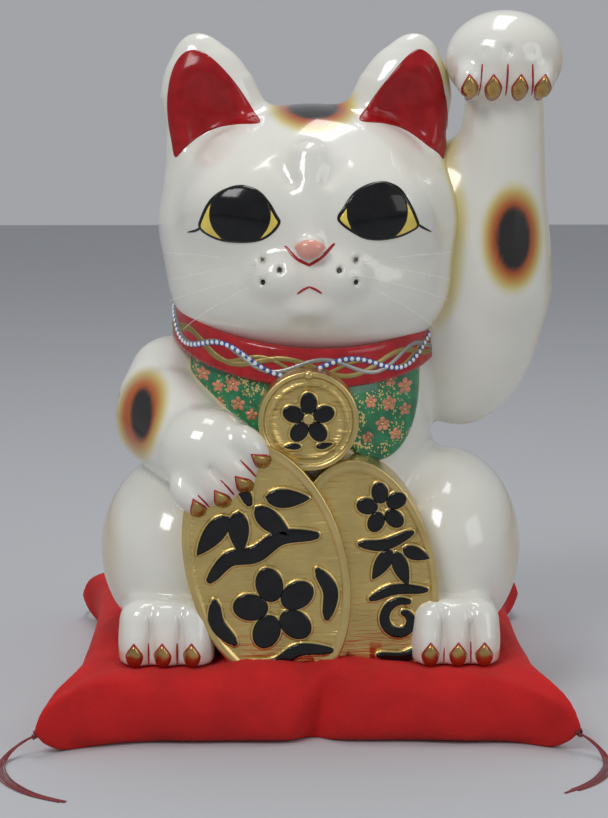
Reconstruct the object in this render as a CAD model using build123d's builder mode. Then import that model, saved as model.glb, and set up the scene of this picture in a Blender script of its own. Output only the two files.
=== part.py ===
"""Seated beckoning cat, a hollow slip-cast ceramic figurine that rests on a stuffed square cushion.

Frame: millimetres, +Z up, origin on the floor under the middle of the cushion. The cat faces -Y, so +X is on
the right of someone who looks at its face, which is the side of its raised left paw.
"""

import os
from math import asin, cos, pi, radians, sin, sqrt, tan

from build123d import *

os.makedirs("parts", exist_ok=True)

# ---- driving dimensions ----
CUSHION_HEIGHT = 41.0
CUSHION_TIP = 166.0
CUSHION_WAIST = 146.0
CORNER_RADIUS = 20.0
TOP_EDGE_RADIUS = 18.0
BOTTOM_EDGE_RADIUS = 13.0
COVER_THICKNESS = 1.5

SEAT = CUSHION_HEIGHT
CAT_HEIGHT = 386.0
PAW_TOP = SEAT + CAT_HEIGHT
BODY_Y = -7.0
WALL = 5.5

BASE_RADIUS = 86.0
NECK_RADIUS = 74.0
NECK_Z = SEAT + 187
HEAD_TOP = SEAT + 329
HEAD_RADIUS = 92.0
HEAD_Z = SEAT + 250
CROWN_RISE = 20.0
BROW_Z = HEAD_TOP - CROWN_RISE
HAUNCH_RADIUS = 56.0
HAUNCH_SPOTS = [(-75, -27, SEAT + 55), (78, -27, SEAT + 55)]

RECESS_RADIUS = 62.0
RECESS_DEPTH = 14.0
VENT_RADIUS = 12.0
STOPPER_CLEARANCE = 0.05
STOPPER_FLANGE_RADIUS = 16.0
STOPPER_FLANGE = 3.0
STOPPER_LIP = 1.5

COLLAR_BOTTOM = NECK_Z - 22
BIB_BOTTOM = SEAT + 124
BIB_THICKNESS = 3.0
BIB_ARC = 100.0

COIN_FACE = -112.0
COIN_BACK = -60.0
MEDALLION_FACE = -109.0
MEDALLION_RADIUS = 30.0
RELIEF = 1.6
ENAMEL = 0.8

WHISKER_RADIUS = 0.25
TASSEL_RADIUS = 1.5


# ---- shared shapes ----
def ball(centre, radius, pole=(0, 0, 1)):
    """A sphere, its poles along the given direction."""
    with BuildPart() as sphere:
        with Locations(Plane(origin=centre, z_dir=pole)):
            Sphere(radius)
    return sphere.part


def without(part, *others):
    """part with the room that the others take removed, so that they meet face to face."""
    with BuildPart() as piece:
        add(part)
        for other in others:
            add(other, mode=Mode.SUBTRACT)
    return piece.part


def largest(part):
    """The biggest solid of part, without any crumbs that a cut has left."""
    return part.solids().sort_by(SortBy.VOLUME)[-1]


def save(name, *solids):
    """Writes one node as a STEP file."""
    node = solids[0] if len(solids) == 1 else Compound(children=list(solids))
    node.label = name
    export_step(node, f"parts/{name}.step")


def facing(x, z, y, tilt=0.0):
    """A sketch plane at depth y that faces -Y, turned by tilt degrees about its own normal."""
    return Plane(origin=(x, y, z), x_dir=(cos(radians(tilt)), 0, sin(radians(tilt))), z_dir=(0, -1, 0))


def torso_outline(grow, foot_z):
    """The torso's side line in the half plane of its axis, moved outwards by grow."""
    ThreePointArc((BASE_RADIUS + grow, foot_z), (95 + grow, SEAT + 62), (90 + grow, SEAT + 139))
    ThreePointArc((90 + grow, SEAT + 139), (83.5 + grow, SEAT + 165), (NECK_RADIUS + grow, NECK_Z))


def torso_solid(grow=0.0, foot_z=SEAT):
    """The torso as a solid of revolution from its foot to the neck."""
    with BuildPart() as solid:
        with BuildSketch(Plane.XZ):
            with BuildLine():
                torso_outline(grow, foot_z)
                Polyline((NECK_RADIUS + grow, NECK_Z), (0, NECK_Z), (0, foot_z), (BASE_RADIUS + grow, foot_z))
            make_face()
        revolve(axis=Axis.Z)
    return solid.part.moved(Location((0, BODY_Y, 0)))


def head_solid(grow=0.0):
    """The skull from the neck to the crown: two spheres centred on its axis, the flatter one on top."""
    brow_radius = sqrt(HEAD_RADIUS**2 - (BROW_Z - HEAD_Z) ** 2)
    crown_radius = (brow_radius**2 + CROWN_RISE**2) / (2 * CROWN_RISE)
    crown_centre = HEAD_TOP - crown_radius
    crown_radius += grow
    skull_radius = HEAD_RADIUS + grow
    apart = crown_centre - HEAD_Z
    brow_z = HEAD_Z + (skull_radius**2 - crown_radius**2 + apart**2) / (2 * apart)
    spread = asin(sqrt(skull_radius**2 - (brow_z - HEAD_Z) ** 2) / crown_radius)
    crown = (0, crown_centre + crown_radius)
    temple = (crown_radius * sin(spread / 2), crown_centre + crown_radius * cos(spread / 2))
    brow = (crown_radius * sin(spread), brow_z)
    neck = (sqrt(skull_radius**2 - (HEAD_Z - NECK_Z) ** 2), NECK_Z)
    with BuildPart() as solid:
        with BuildSketch(Plane.XZ):
            with BuildLine():
                ThreePointArc(neck, (skull_radius, HEAD_Z), brow)
                ThreePointArc(brow, temple, crown)
                Polyline(crown, (0, NECK_Z), neck)
            make_face()
        revolve(axis=Axis.Z)
    return solid.part.moved(Location((0, BODY_Y, 0)))


# ---- torso casting: body, haunches, and a recessed base with its vent ----
torso_form = torso_solid()
with BuildPart() as torso_outer:
    add(torso_form)
    with Locations(*HAUNCH_SPOTS):
        Sphere(HAUNCH_RADIUS)
    with BuildSketch(Plane.XY.offset(SEAT)):
        Rectangle(400, 400)
    extrude(amount=-SEAT, mode=Mode.SUBTRACT)

with BuildPart() as torso_casting:
    add(torso_outer.part)
    add(torso_solid(-WALL, SEAT + RECESS_DEPTH + WALL), mode=Mode.SUBTRACT)
    with Locations(*HAUNCH_SPOTS):
        Sphere(HAUNCH_RADIUS - WALL, mode=Mode.SUBTRACT)
    with Locations((0, BODY_Y, SEAT)):
        Cylinder(RECESS_RADIUS, RECESS_DEPTH, align=(Align.CENTER, Align.CENTER, Align.MIN), mode=Mode.SUBTRACT)
        Cylinder(VENT_RADIUS, 2 * RECESS_DEPTH, align=(Align.CENTER, Align.CENTER, Align.MIN), mode=Mode.SUBTRACT)
save("torso_casting", largest(torso_casting.part))

# ---- head casting, open at the neck, and its muzzle ----
MUZZLE_CENTRE = (1.5, -81, SEAT + 216)
MUZZLE_RADIUS = 24.0

with BuildPart() as head_outer:
    add(head_solid())
    with Locations(MUZZLE_CENTRE):
        Sphere(MUZZLE_RADIUS)
skull = head_solid()
save("head_casting", largest(without(skull, head_solid(-WALL))))
save("muzzle", largest(without(ball(MUZZLE_CENTRE, MUZZLE_RADIUS), skull)))

# ---- ears: flattened horns, dished in front, lined with red enamel ----
EAR_BASE = (47, -14, SEAT + 285)
EAR_LEAN = 14.0
EAR_SECTIONS = [(0, 36, 22), (30, 33, 19), (53, 24.5, 14.5), (72, 13, 9), (85, 4, 4)]
EAR_DISH_CENTRE = (0, -56, 34)
EAR_DISH_RADIUS = 48.0


def ear_solid():
    """An upright ear with its hollow front."""
    with BuildPart() as horn:
        for height, half_width, half_depth in EAR_SECTIONS:
            with BuildSketch(Plane.XY.offset(height)):
                Ellipse(half_width, half_depth)
        loft()
        with Locations(EAR_DISH_CENTRE):
            Sphere(EAR_DISH_RADIUS, mode=Mode.SUBTRACT)
    return horn.part


def ear_lining():
    """The enamel skin in the ear's hollow: the outermost layer of the ball that dished it."""
    with BuildPart() as lining:
        with BuildSketch(Plane.XZ.offset(-EAR_DISH_CENTRE[1] - 30)):
            with Locations((0, EAR_DISH_CENTRE[2] + 1)):
                Ellipse(19, 23)
        extrude(amount=-40)
        with Locations(EAR_DISH_CENTRE):
            Sphere(EAR_DISH_RADIUS, mode=Mode.INTERSECT)
            Sphere(EAR_DISH_RADIUS - ENAMEL, mode=Mode.SUBTRACT)
    return lining.part


def on_head(part, side):
    """part moved from upright to the ear's place on one side (-1 or +1) of the head."""
    return part.moved(Location((side * EAR_BASE[0] + 1, EAR_BASE[1], EAR_BASE[2]), (0, side * EAR_LEAN, 0)))


for name, side in (("right", -1), ("left", 1)):
    save(f"{name}_ear", largest(without(on_head(ear_solid(), side), head_outer.part)))
    save(f"{name}_ear_lining", largest(without(on_head(ear_lining(), side), head_outer.part)))

# ---- face: enamelled eyes, nose, nylon whiskers ----
EYE_SPOTS = {"right": (-40, SEAT + 266), "left": (42, SEAT + 266)}


def eye_enamel(x, z):
    """An almond of raised enamel that follows the face."""
    with BuildPart() as eye:
        with BuildSketch(facing(x, z, -120)):
            with BuildLine():
                ThreePointArc((-23.5, -3), (0, 16), (23.5, -3))
                ThreePointArc((23.5, -3), (0, -17), (-23.5, -3))
            make_face()
        extrude(amount=-80)
    return eye.part


face_skin = head_solid(ENAMEL)
for name, (x, z) in EYE_SPOTS.items():
    with BuildPart() as eye:
        add(eye_enamel(x, z))
        add(face_skin, mode=Mode.INTERSECT)
        add(head_outer.part, mode=Mode.SUBTRACT)
    save(f"{name}_eye_enamel", largest(eye.part))

save("nose", largest(without(ball((1.8, -98, SEAT + 243), 7), head_outer.part)))

WHISKERS = [
    ((22, -96, SEAT + 230), (60, -112, SEAT + 226), (86, -104, SEAT + 228)),
    ((17, -98, SEAT + 223), (60, -113, SEAT + 214), (88, -100, SEAT + 206)),
    ((21, -95, SEAT + 216), (55, -110, SEAT + 202), (78, -102, SEAT + 187)),
]


def whisker(route, side):
    """A stiff filament that bows away from the cheek, its root set into the muzzle."""
    root, bend, tip = [(1.5 + side * x, y, z) for x, y, z in route]
    with BuildPart() as filament:
        with BuildLine() as bow:
            ThreePointArc(root, bend, tip)
        with BuildSketch(Plane(origin=bow.line @ 0, z_dir=bow.line % 0)):
            Circle(WHISKER_RADIUS)
        sweep()
    return largest(without(filament.part, head_outer.part))


for name, side in (("right", -1), ("left", 1)):
    save(f"{name}_whiskers", *[whisker(route, side) for route in WHISKERS])

# ---- collar and bib: raised bands that follow the neck and the chest ----
with BuildPart() as collar_band:
    with BuildSketch(Plane.XZ) as collar_section:
        with BuildLine():
            Polyline((60, COLLAR_BOTTOM), (84, COLLAR_BOTTOM), (88, COLLAR_BOTTOM + 4), (86, NECK_Z), (82, NECK_Z + 8))
            Polyline((82, NECK_Z + 8), (60, NECK_Z + 8), (60, COLLAR_BOTTOM))
        make_face()
    revolve(axis=Axis.Z)
collar = without(collar_band.part.moved(Location((0, BODY_Y, 0))), torso_form, head_outer.part)
save("collar_band", largest(collar))
collar = largest(collar)

with BuildPart() as bib_block:
    with BuildSketch(Plane.XZ):
        with Locations((0, (BIB_BOTTOM + COLLAR_BOTTOM) / 2)):
            Rectangle(120, COLLAR_BOTTOM - BIB_BOTTOM, align=(Align.MIN, Align.CENTER))
    revolve(axis=Axis.Z, revolution_arc=BIB_ARC)
with BuildPart() as bib_skin:
    add(bib_block.part.moved(Location((0, BODY_Y, 0), (0, 0, -90 - BIB_ARC / 2))))
    add(torso_solid(BIB_THICKNESS), mode=Mode.INTERSECT)
    add(torso_form, mode=Mode.SUBTRACT)
bib = largest(bib_skin.part)
save("bib", bib)

# ---- raised arm: vertical forearm, round paw with gold claws ----
ELBOW = (112, -12, SEAT + 165)
ELBOW_RADIUS = 38.0
WRIST = (122.5, -14, SEAT + 330)
WRIST_RADIUS = 26.5
PAW_RADIUS = 33.0
PAW_CENTRE = (122.5, -20, PAW_TOP - PAW_RADIUS)
CLAW_SPREAD = 24.0


def tapered_limb(start, start_radius, end, end_radius):
    """A tapered limb with a ball at each end: its outline, tangent to both balls, spun about its own axis."""
    run = Vector(*end) - Vector(*start)
    lean = asin((start_radius - end_radius) / run.length)
    low = (start_radius * cos(lean), start_radius * sin(lean))
    high = (end_radius * cos(lean), run.length + end_radius * sin(lean))
    with BuildPart() as limb:
        with BuildSketch(Plane.XZ):
            with BuildLine():
                ThreePointArc((0, -start_radius), (start_radius * cos(-0.7), start_radius * sin(-0.7)), low)
                Line(low, high)
                ThreePointArc(
                    high,
                    (end_radius * cos(0.9), run.length + end_radius * sin(0.9)),
                    (0, run.length + end_radius),
                )
                Line((0, run.length + end_radius), (0, -start_radius))
            make_face()
        revolve(axis=Axis.Z)
    return limb.part.moved(Plane(origin=start, z_dir=run.normalized()).location)


raised_claws = []
for step in (-1.5, -0.5, 0.5, 1.5):
    turn = radians(step * CLAW_SPREAD)
    reach = 0.92 * (PAW_RADIUS - 2)
    spot = (PAW_CENTRE[0] + reach * sin(turn), PAW_CENTRE[1] - reach * cos(turn), PAW_CENTRE[2] - 11)
    raised_claws.append(ball(spot, 5.2, pole=(sin(turn), -cos(turn), -0.4)))

forearm = without(tapered_limb(ELBOW, ELBOW_RADIUS, WRIST, WRIST_RADIUS), torso_form, head_outer.part, collar)
raised_paw = without(ball(PAW_CENTRE, PAW_RADIUS), largest(forearm), *raised_claws)
save("raised_arm_casting", largest(forearm))
save("raised_paw_casting", largest(raised_paw))
save("raised_paw_claws", *[claw.solid() for claw in raised_claws])

# ---- coins that the cat holds, and the medallion on its chest ----
FRONT_COIN = {"x": -24, "z": SEAT + 62, "half_width": 52, "half_height": 70, "tilt": 14}
REAR_COIN = {"x": 27, "z": SEAT + 58, "half_width": 50, "half_height": 67, "tilt": 9}
MEDALLION = (1, SEAT + 146.5)


def coin_plate(x, z, half_width, half_height, tilt, face_y):
    """An upright oval plate with a raised round rim, cut off flat where it meets the base of the cat."""
    plane = facing(x, z, face_y + RELIEF, tilt)
    with BuildPart() as plate:
        with BuildSketch(plane):
            Ellipse(half_width, half_height)
        extrude(amount=face_y + RELIEF - COIN_BACK)
        with BuildSketch(plane):
            Ellipse(half_width, half_height)
            Ellipse(half_width - 5, half_height - 5, mode=Mode.SUBTRACT)
        extrude(amount=RELIEF)
        with BuildSketch(Plane.XY.offset(SEAT)):
            Rectangle(400, 400)
        extrude(amount=-SEAT, mode=Mode.SUBTRACT)
    return plate.part


def plum_blossom(plane, size):
    """A five-petalled blossom in low relief."""
    with BuildPart() as blossom:
        with BuildSketch(plane):
            with PolarLocations(size * 0.56, 5, start_angle=90):
                Circle(size * 0.36)
            Circle(size * 0.3)
        extrude(amount=RELIEF)
    return blossom.part


def cloud_scrolls(plane, spots, size):
    """Rounded cloud puffs, each on its own bar, in low relief."""
    with BuildPart() as clouds:
        with BuildSketch(plane):
            for x, y in spots:
                with Locations((x, y)):
                    SlotOverall(size * 1.9, size * 0.42)
                with Locations((x - size * 0.38, y + size * 0.26), (x + size * 0.3, y + size * 0.32)):
                    Circle(size * 0.34)
        extrude(amount=RELIEF)
    return clouds.part


with BuildPart() as medallion_form:
    medallion_plane = facing(*MEDALLION, MEDALLION_FACE + RELIEF)
    with BuildSketch(medallion_plane):
        Circle(MEDALLION_RADIUS)
    extrude(amount=-30)
    with BuildSketch(medallion_plane):
        Circle(MEDALLION_RADIUS)
        Circle(MEDALLION_RADIUS - 4, mode=Mode.SUBTRACT)
        Circle(MEDALLION_RADIUS - 6.5)
        Circle(MEDALLION_RADIUS - 8, mode=Mode.SUBTRACT)
    extrude(amount=RELIEF)

front_coin = without(coin_plate(**FRONT_COIN, face_y=COIN_FACE), torso_outer.part, bib)
front_coin = largest(front_coin)
rear_coin = without(coin_plate(**REAR_COIN, face_y=COIN_FACE + 3), torso_outer.part, bib, front_coin)
rear_coin = largest(rear_coin)
medallion = largest(without(medallion_form.part, torso_form, bib, collar, front_coin, rear_coin))
save("front_coin", front_coin)
save("rear_coin", rear_coin)
save("medallion", medallion)

# ---- resting arm: elbow out to the side, paw over the rim of the front coin ----
RESTING_ELBOW = (-85, -48, SEAT + 138)
RESTING_ELBOW_RADIUS = 32.0
RESTING_WRIST = (-50, -98, SEAT + 107)
RESTING_WRIST_RADIUS = 25.0
RESTING_CLAW_SPOTS = [(-30, -113, SEAT + 120), (-34, -117, SEAT + 108), (-43, -120, SEAT + 97), (-54, -115, SEAT + 89)]

resting_limb = tapered_limb(RESTING_ELBOW, RESTING_ELBOW_RADIUS, RESTING_WRIST, RESTING_WRIST_RADIUS)
resting_claws = [ball(spot, 5) for spot in RESTING_CLAW_SPOTS]
resting_arm = without(resting_limb, torso_outer.part, collar, bib, front_coin, medallion, *resting_claws)
save("resting_arm_casting", largest(resting_arm))
save("resting_paw_claws", *[largest(without(claw, front_coin)) for claw in resting_claws])

front_plane = facing(FRONT_COIN["x"], FRONT_COIN["z"], COIN_FACE + RELIEF, FRONT_COIN["tilt"])
rear_plane = facing(REAR_COIN["x"], REAR_COIN["z"], COIN_FACE + 3 + RELIEF, REAR_COIN["tilt"])
front_emblem = without(cloud_scrolls(front_plane, [(0, -36), (6, 8)], 30), resting_limb, *resting_claws)
rear_emblem = without(cloud_scrolls(rear_plane, [(21, -27), (25, 3), (20, 32)], 15), front_coin)
save("front_coin_emblem", *front_emblem.solids())
save("rear_coin_emblem", *rear_emblem.solids())
save("medallion_emblem", plum_blossom(medallion_plane, 19).solid())

# ---- hind paws ----
HIND_PAWS = {"right": -84.0, "left": 89.0}
HIND_PAW_FRONT = -116.0
HIND_PAW_SIZE = (58, 70, 34)
HIND_PAW_ROUNDING = 13.0


def hind_paw(x):
    """A blunt paw, flat underneath and rounded at its front and top."""
    with BuildPart() as paw:
        with Locations((x, HIND_PAW_FRONT, SEAT)):
            Box(*HIND_PAW_SIZE, align=(Align.CENTER, Align.MIN, Align.MIN))
        fillet(paw.edges().filter_by(Axis.Z), HIND_PAW_ROUNDING + 3)
        fillet(paw.faces().sort_by(Axis.Z)[-1].edges(), HIND_PAW_ROUNDING)
    return paw.part


for name, x in HIND_PAWS.items():
    hind_claws = [ball((x + step, HIND_PAW_FRONT + 2 + abs(step) * 0.12, SEAT + 6), 4) for step in (-18, -6, 6, 18)]
    paw = without(hind_paw(x), torso_outer.part, front_coin, rear_coin, *hind_claws)
    save(f"{name}_hind_paw", largest(paw))
    save(f"{name}_hind_paw_claws", *[claw.solid() for claw in hind_claws])

# ---- bobtail ----
save("bob_tail", largest(without(ball((5, 86, SEAT + 36), 22), torso_outer.part)))

# ---- rubber stopper in the vent ----
with BuildPart() as vent_stopper:
    with Locations((0, BODY_Y, SEAT + RECESS_DEPTH)):
        Cylinder(STOPPER_FLANGE_RADIUS, STOPPER_FLANGE, align=(Align.CENTER, Align.CENTER, Align.MAX))
        Cylinder(VENT_RADIUS - STOPPER_CLEARANCE, WALL + STOPPER_LIP, align=(Align.CENTER, Align.CENTER, Align.MIN))
    chamfer(vent_stopper.edges().sort_by(Axis.Z)[-1], 1.2)
save("vent_stopper", vent_stopper.part.solid())


# ---- cushion: sewn cover around its filling ----
def pillow(inset):
    """The cushion's form, its four sides drawn in between its corners, moved in by inset on every side."""
    tip = CUSHION_TIP - 1.2 * inset
    waist = CUSHION_WAIST - inset
    with BuildPart() as form:
        with BuildSketch(Plane.XY.offset(inset)):
            with BuildLine():
                ThreePointArc((-tip, -tip), (0, -waist), (tip, -tip))
                ThreePointArc((tip, -tip), (waist, 0), (tip, tip))
                ThreePointArc((tip, tip), (0, waist), (-tip, tip))
                ThreePointArc((-tip, tip), (-waist, 0), (-tip, -tip))
            make_face()
        extrude(amount=CUSHION_HEIGHT - 2 * inset)
        fillet(form.edges().filter_by(Axis.Z), CORNER_RADIUS - inset)
        fillet(form.faces().sort_by(Axis.Z)[-1].edges(), TOP_EDGE_RADIUS - inset)
        fillet(form.faces().sort_by(Axis.Z)[0].edges(), BOTTOM_EDGE_RADIUS - inset)
    return form.part


cushion_form = pillow(0)
filling = pillow(COVER_THICKNESS)
cover = without(cushion_form, filling)
save("cushion_cover", cover.solid())
save("cushion_filling", filling.solid())

# ---- tassels: a limp hank of threads sewn to each corner ----
TASSEL_FLOOR = TASSEL_RADIUS + 0.1
TASSELS = {
    "front_right": [
        (-151, -151, 14),
        (-161, -154, 12),
        (-171, -160, 6),
        (-176, -171, TASSEL_FLOOR),
        (-174, -186, TASSEL_FLOOR),
        (-168, -201, TASSEL_FLOOR),
        (-158, -215, TASSEL_FLOOR),
        (-146, -226, TASSEL_FLOOR),
        (-133, -233, TASSEL_FLOOR),
    ],
    "front_left": [
        (151, -151, 14),
        (160, -155, 12),
        (168, -163, 6),
        (171, -174, TASSEL_FLOOR),
        (167, -189, TASSEL_FLOOR),
        (160, -203, TASSEL_FLOOR),
        (150, -215, TASSEL_FLOOR),
        (139, -223, TASSEL_FLOOR),
    ],
    "back_left": [
        (151, 151, 14),
        (154, 161, 12),
        (152, 172, 6),
        (144, 180, TASSEL_FLOOR),
        (130, 185, TASSEL_FLOOR),
        (114, 187, TASSEL_FLOOR),
        (99, 184, TASSEL_FLOOR),
        (86, 177, TASSEL_FLOOR),
    ],
    "back_right": [
        (-151, 151, 14),
        (-155, 161, 12),
        (-154, 172, 6),
        (-147, 181, TASSEL_FLOOR),
        (-134, 188, TASSEL_FLOOR),
        (-119, 192, TASSEL_FLOOR),
        (-103, 191, TASSEL_FLOOR),
        (-89, 186, TASSEL_FLOOR),
    ],
}


def bend_radii(points):
    """The largest radius that each corner of the route has room for."""
    radii = []
    for before, corner, after in zip(points, points[1:], points[2:]):
        first = Vector(*corner) - Vector(*before)
        second = Vector(*after) - Vector(*corner)
        half_turn = radians(first.get_angle(second) / 2)
        radii.append(0.45 * min(first.length, second.length) / tan(half_turn))
    return radii


for name, points in TASSELS.items():
    radii = bend_radii(points)
    with BuildPart() as tassel:
        with BuildLine() as route:
            FilletPolyline(*points, radius=radii)
        with BuildSketch(Plane(origin=route.line @ 0, z_dir=route.line % 0)):
            Circle(TASSEL_RADIUS)
        sweep()
    length = sum(edge.length for edge in route.edges())
    print(name, "length", round(length, 1), "radii", [round(r) for r in radii])
    print("  volume over section times length", round(tassel.part.volume / (pi * TASSEL_RADIUS**2 * length), 4))
    save(f"{name}_tassel", largest(without(tassel.part, cushion_form)))
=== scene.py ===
"""Looks of the beckoning cat: glazed ceramic skins, enamels, gold, a stuffed cushion and its tassels.

Lengths inside this file are millimetres in the row frame (+Z up, the cat faces -Y) unless a name says metres.
"""

from math import cos, pi, radians, sin

import bmesh
import bpy
import numpy as np
from mathutils import Euler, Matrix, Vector
from mathutils.geometry import delaunay_2d_cdt


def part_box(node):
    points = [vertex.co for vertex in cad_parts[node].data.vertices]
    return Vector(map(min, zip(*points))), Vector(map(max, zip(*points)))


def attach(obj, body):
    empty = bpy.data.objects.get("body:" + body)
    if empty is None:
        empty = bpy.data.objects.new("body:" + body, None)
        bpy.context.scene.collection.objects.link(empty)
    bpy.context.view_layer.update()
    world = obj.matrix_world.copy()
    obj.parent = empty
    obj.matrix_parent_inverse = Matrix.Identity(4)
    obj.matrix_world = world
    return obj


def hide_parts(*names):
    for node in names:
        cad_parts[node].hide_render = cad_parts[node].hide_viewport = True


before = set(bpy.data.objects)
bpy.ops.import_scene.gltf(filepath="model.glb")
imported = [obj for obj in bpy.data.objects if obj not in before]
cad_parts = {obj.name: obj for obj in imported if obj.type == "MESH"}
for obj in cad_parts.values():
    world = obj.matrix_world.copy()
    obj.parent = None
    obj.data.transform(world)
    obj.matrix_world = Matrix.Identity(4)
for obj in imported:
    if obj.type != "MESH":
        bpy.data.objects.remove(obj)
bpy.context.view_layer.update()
MM = 0.001

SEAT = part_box("torso_casting")[0][2] / MM
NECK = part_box("head_casting")[0][2] / MM
PAW_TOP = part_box("raised_paw_casting")[1][2] / MM
COIN_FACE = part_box("front_coin")[0][1] / MM
MEDALLION_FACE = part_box("medallion")[0][1] / MM
CUSHION_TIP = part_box("cushion_cover")[1][0] / MM


# ---- camera ----
CAMERA_PLACE = (-0.0213, -1.321, 0.392)
CAMERA_PITCH = 0.161
CAMERA_YAW = 0.016
SENSOR = 36
LENS = 92.4


def add_camera():
    """The photograph's viewpoint: level with the ears, from 1.3 m away. In metres and radians."""
    data = bpy.data.cameras.new("camera")
    data.lens = LENS
    data.sensor_width = SENSOR
    data.dof.use_dof = False
    camera = bpy.data.objects.new("camera", data)
    camera.location = CAMERA_PLACE
    camera.rotation_euler = (pi / 2 - CAMERA_PITCH, 0, -CAMERA_YAW)
    bpy.context.scene.collection.objects.link(camera)
    bpy.context.scene.camera = camera


add_camera()


# ---- materials ----
COAT_ROUGHNESS = 0.04


class Shader:
    """A new material, and short ways to build on its nodes."""

    def __init__(self, name, base, roughness, metallic=0.0, coat=0.0, sheen=0.0):
        self.material = bpy.data.materials.new(name)
        self.material.use_nodes = True
        self.nodes = self.material.node_tree.nodes
        self.links = self.material.node_tree.links
        self.feed("Base Color", base)
        self.feed("Roughness", roughness)
        self.feed("Metallic", metallic)
        self.feed("Coat Weight", coat)
        self.feed("Coat Roughness", COAT_ROUGHNESS)
        self.feed("Sheen Weight", sheen)

    def feed(self, socket, value):
        """Links an output to a socket, or sets it. A name means a socket of the Principled BSDF."""
        if isinstance(socket, str):
            socket = self.nodes["Principled BSDF"].inputs[socket]
        if isinstance(value, bpy.types.NodeSocket):
            self.links.new(value, socket)
        else:
            socket.default_value = (*value, 1) if isinstance(value, tuple) else value

    def noise(self, scale, detail=2.0, stretch=(1, 1, 1)):
        """A noise texture in object space."""
        mapping = self.nodes.new("ShaderNodeMapping")
        mapping.inputs["Scale"].default_value = stretch
        self.feed(mapping.inputs["Vector"], self.nodes.new("ShaderNodeTexCoord").outputs["Object"])
        texture = self.nodes.new("ShaderNodeTexNoise")
        self.feed(texture.inputs["Vector"], mapping.outputs["Vector"])
        self.feed(texture.inputs["Scale"], scale)
        self.feed(texture.inputs["Detail"], detail)
        return texture.outputs["Fac"]

    def ramp(self, factor, *stops):
        """A colour ramp through two (position, colour) stops."""
        node = self.nodes.new("ShaderNodeValToRGB")
        for element, (position, colour) in zip(node.color_ramp.elements, stops):
            element.position = position
            element.color = (*colour, 1)
        self.feed(node.inputs["Fac"], factor)
        return node.outputs["Color"]

    def mix(self, factor, below, above, blend="MIX"):
        """Colour above laid over colour below."""
        node = self.nodes.new("ShaderNodeMix")
        node.data_type = "RGBA"
        node.blend_type = blend
        for place, value in ((0, factor), (6, below), (7, above)):
            self.feed(node.inputs[place], value)
        return node.outputs[2]

    def maths(self, kind, *values, clamp=False):
        """One maths node."""
        node = self.nodes.new("ShaderNodeMath")
        node.operation = kind
        node.use_clamp = clamp
        for socket, value in zip(node.inputs, values):
            self.feed(socket, value)
        return node.outputs[0]

    def bump(self, height, strength, distance):
        """Fine relief on the surface, its distance in metres."""
        node = self.nodes.new("ShaderNodeBump")
        self.feed(node.inputs["Strength"], strength)
        self.feed(node.inputs["Distance"], distance)
        self.feed(node.inputs["Height"], height)
        self.feed("Normal", node.outputs["Normal"])

    def mask(self, name):
        """A mask stored on the mesh's points."""
        node = self.nodes.new("ShaderNodeAttribute")
        node.attribute_name = name
        return node.outputs["Fac"]


def glaze_material():
    """Ivory glaze with airbrushed spots, and painted shade in creases, at the whisker dimples and on
    sideways-facing sides; their masks lie on the mesh.
    """
    shader = Shader("ivory_glaze", (0.8, 0.76, 0.68), 0.16, coat=0.6)
    speckle = shader.noise(900)
    colour = shader.ramp(shader.noise(14, 3), (0.35, (0.74, 0.725, 0.65)), (0.65, (0.80, 0.79, 0.725)))
    # The lemon and amber masks also carry painted shade in creases and on sideways-facing sides; the
    # near-black mask also carries painted shade in the whisker dimples.
    for mask, tint, grain in (
        ("blush", (0.78, 0.42, 0.33), 0.1),
        ("lemon", (0.62, 0.52, 0.16), 0.16),
        ("amber", (0.42, 0.085, 0.008), 0.2),
        ("black_and_shade", (0.006, 0.005, 0.005), 0.1),
    ):
        grained = shader.maths("MULTIPLY", shader.maths("SUBTRACT", speckle, 0.5), grain)
        spread = shader.mask(mask)
        level = shader.maths("MULTIPLY_ADD", grained, spread, spread, clamp=True)
        colour = shader.mix(level, colour, tint)
    shader.feed("Base Color", colour)
    shader.bump(shader.noise(60), 0.05, 0.0004)
    return shader.material


def enamel_material(name, base, roughness=0.18, variation=0.12, gloss=0.5, coat=0.5):
    """Glossy brushed-on enamel, a little uneven in colour."""
    shader = Shader(name, base, roughness, coat=coat)
    darker = tuple(c * (1 - variation) for c in base)
    lighter = tuple(min(1, c * (1 + variation) + 0.004) for c in base)
    shader.feed("Base Color", shader.ramp(shader.noise(120, 3), (0.35, darker), (0.65, lighter)))
    shader.bump(shader.noise(350), 0.12, 0.0003)
    shader.feed("Specular IOR Level", gloss)
    return shader.material


def gold_material(name, base=(0.68, 0.52, 0.21), roughness=0.3, lines=0.0):
    """Gold lustre, with fine level hammer lines where wanted."""
    shader = Shader(name, base, roughness, metallic=1.0)
    darker = tuple(c * 0.86 for c in base)
    lighter = tuple(min(1, c * 1.1) for c in base)
    shader.feed("Base Color", shader.ramp(shader.noise(45, 4), (0.3, darker), (0.7, lighter)))
    smooth, rough = (roughness * 0.85,) * 3, (roughness * 1.2,) * 3
    shader.feed("Roughness", shader.ramp(shader.noise(90, 3), (0.3, smooth), (0.7, rough)))
    if lines:
        shader.bump(shader.noise(420, 3, stretch=(0.14, 0.14, 1)), lines, 0.0016)
    else:
        shader.bump(shader.noise(400), 0.1, 0.0003)
    return shader.material


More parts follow.
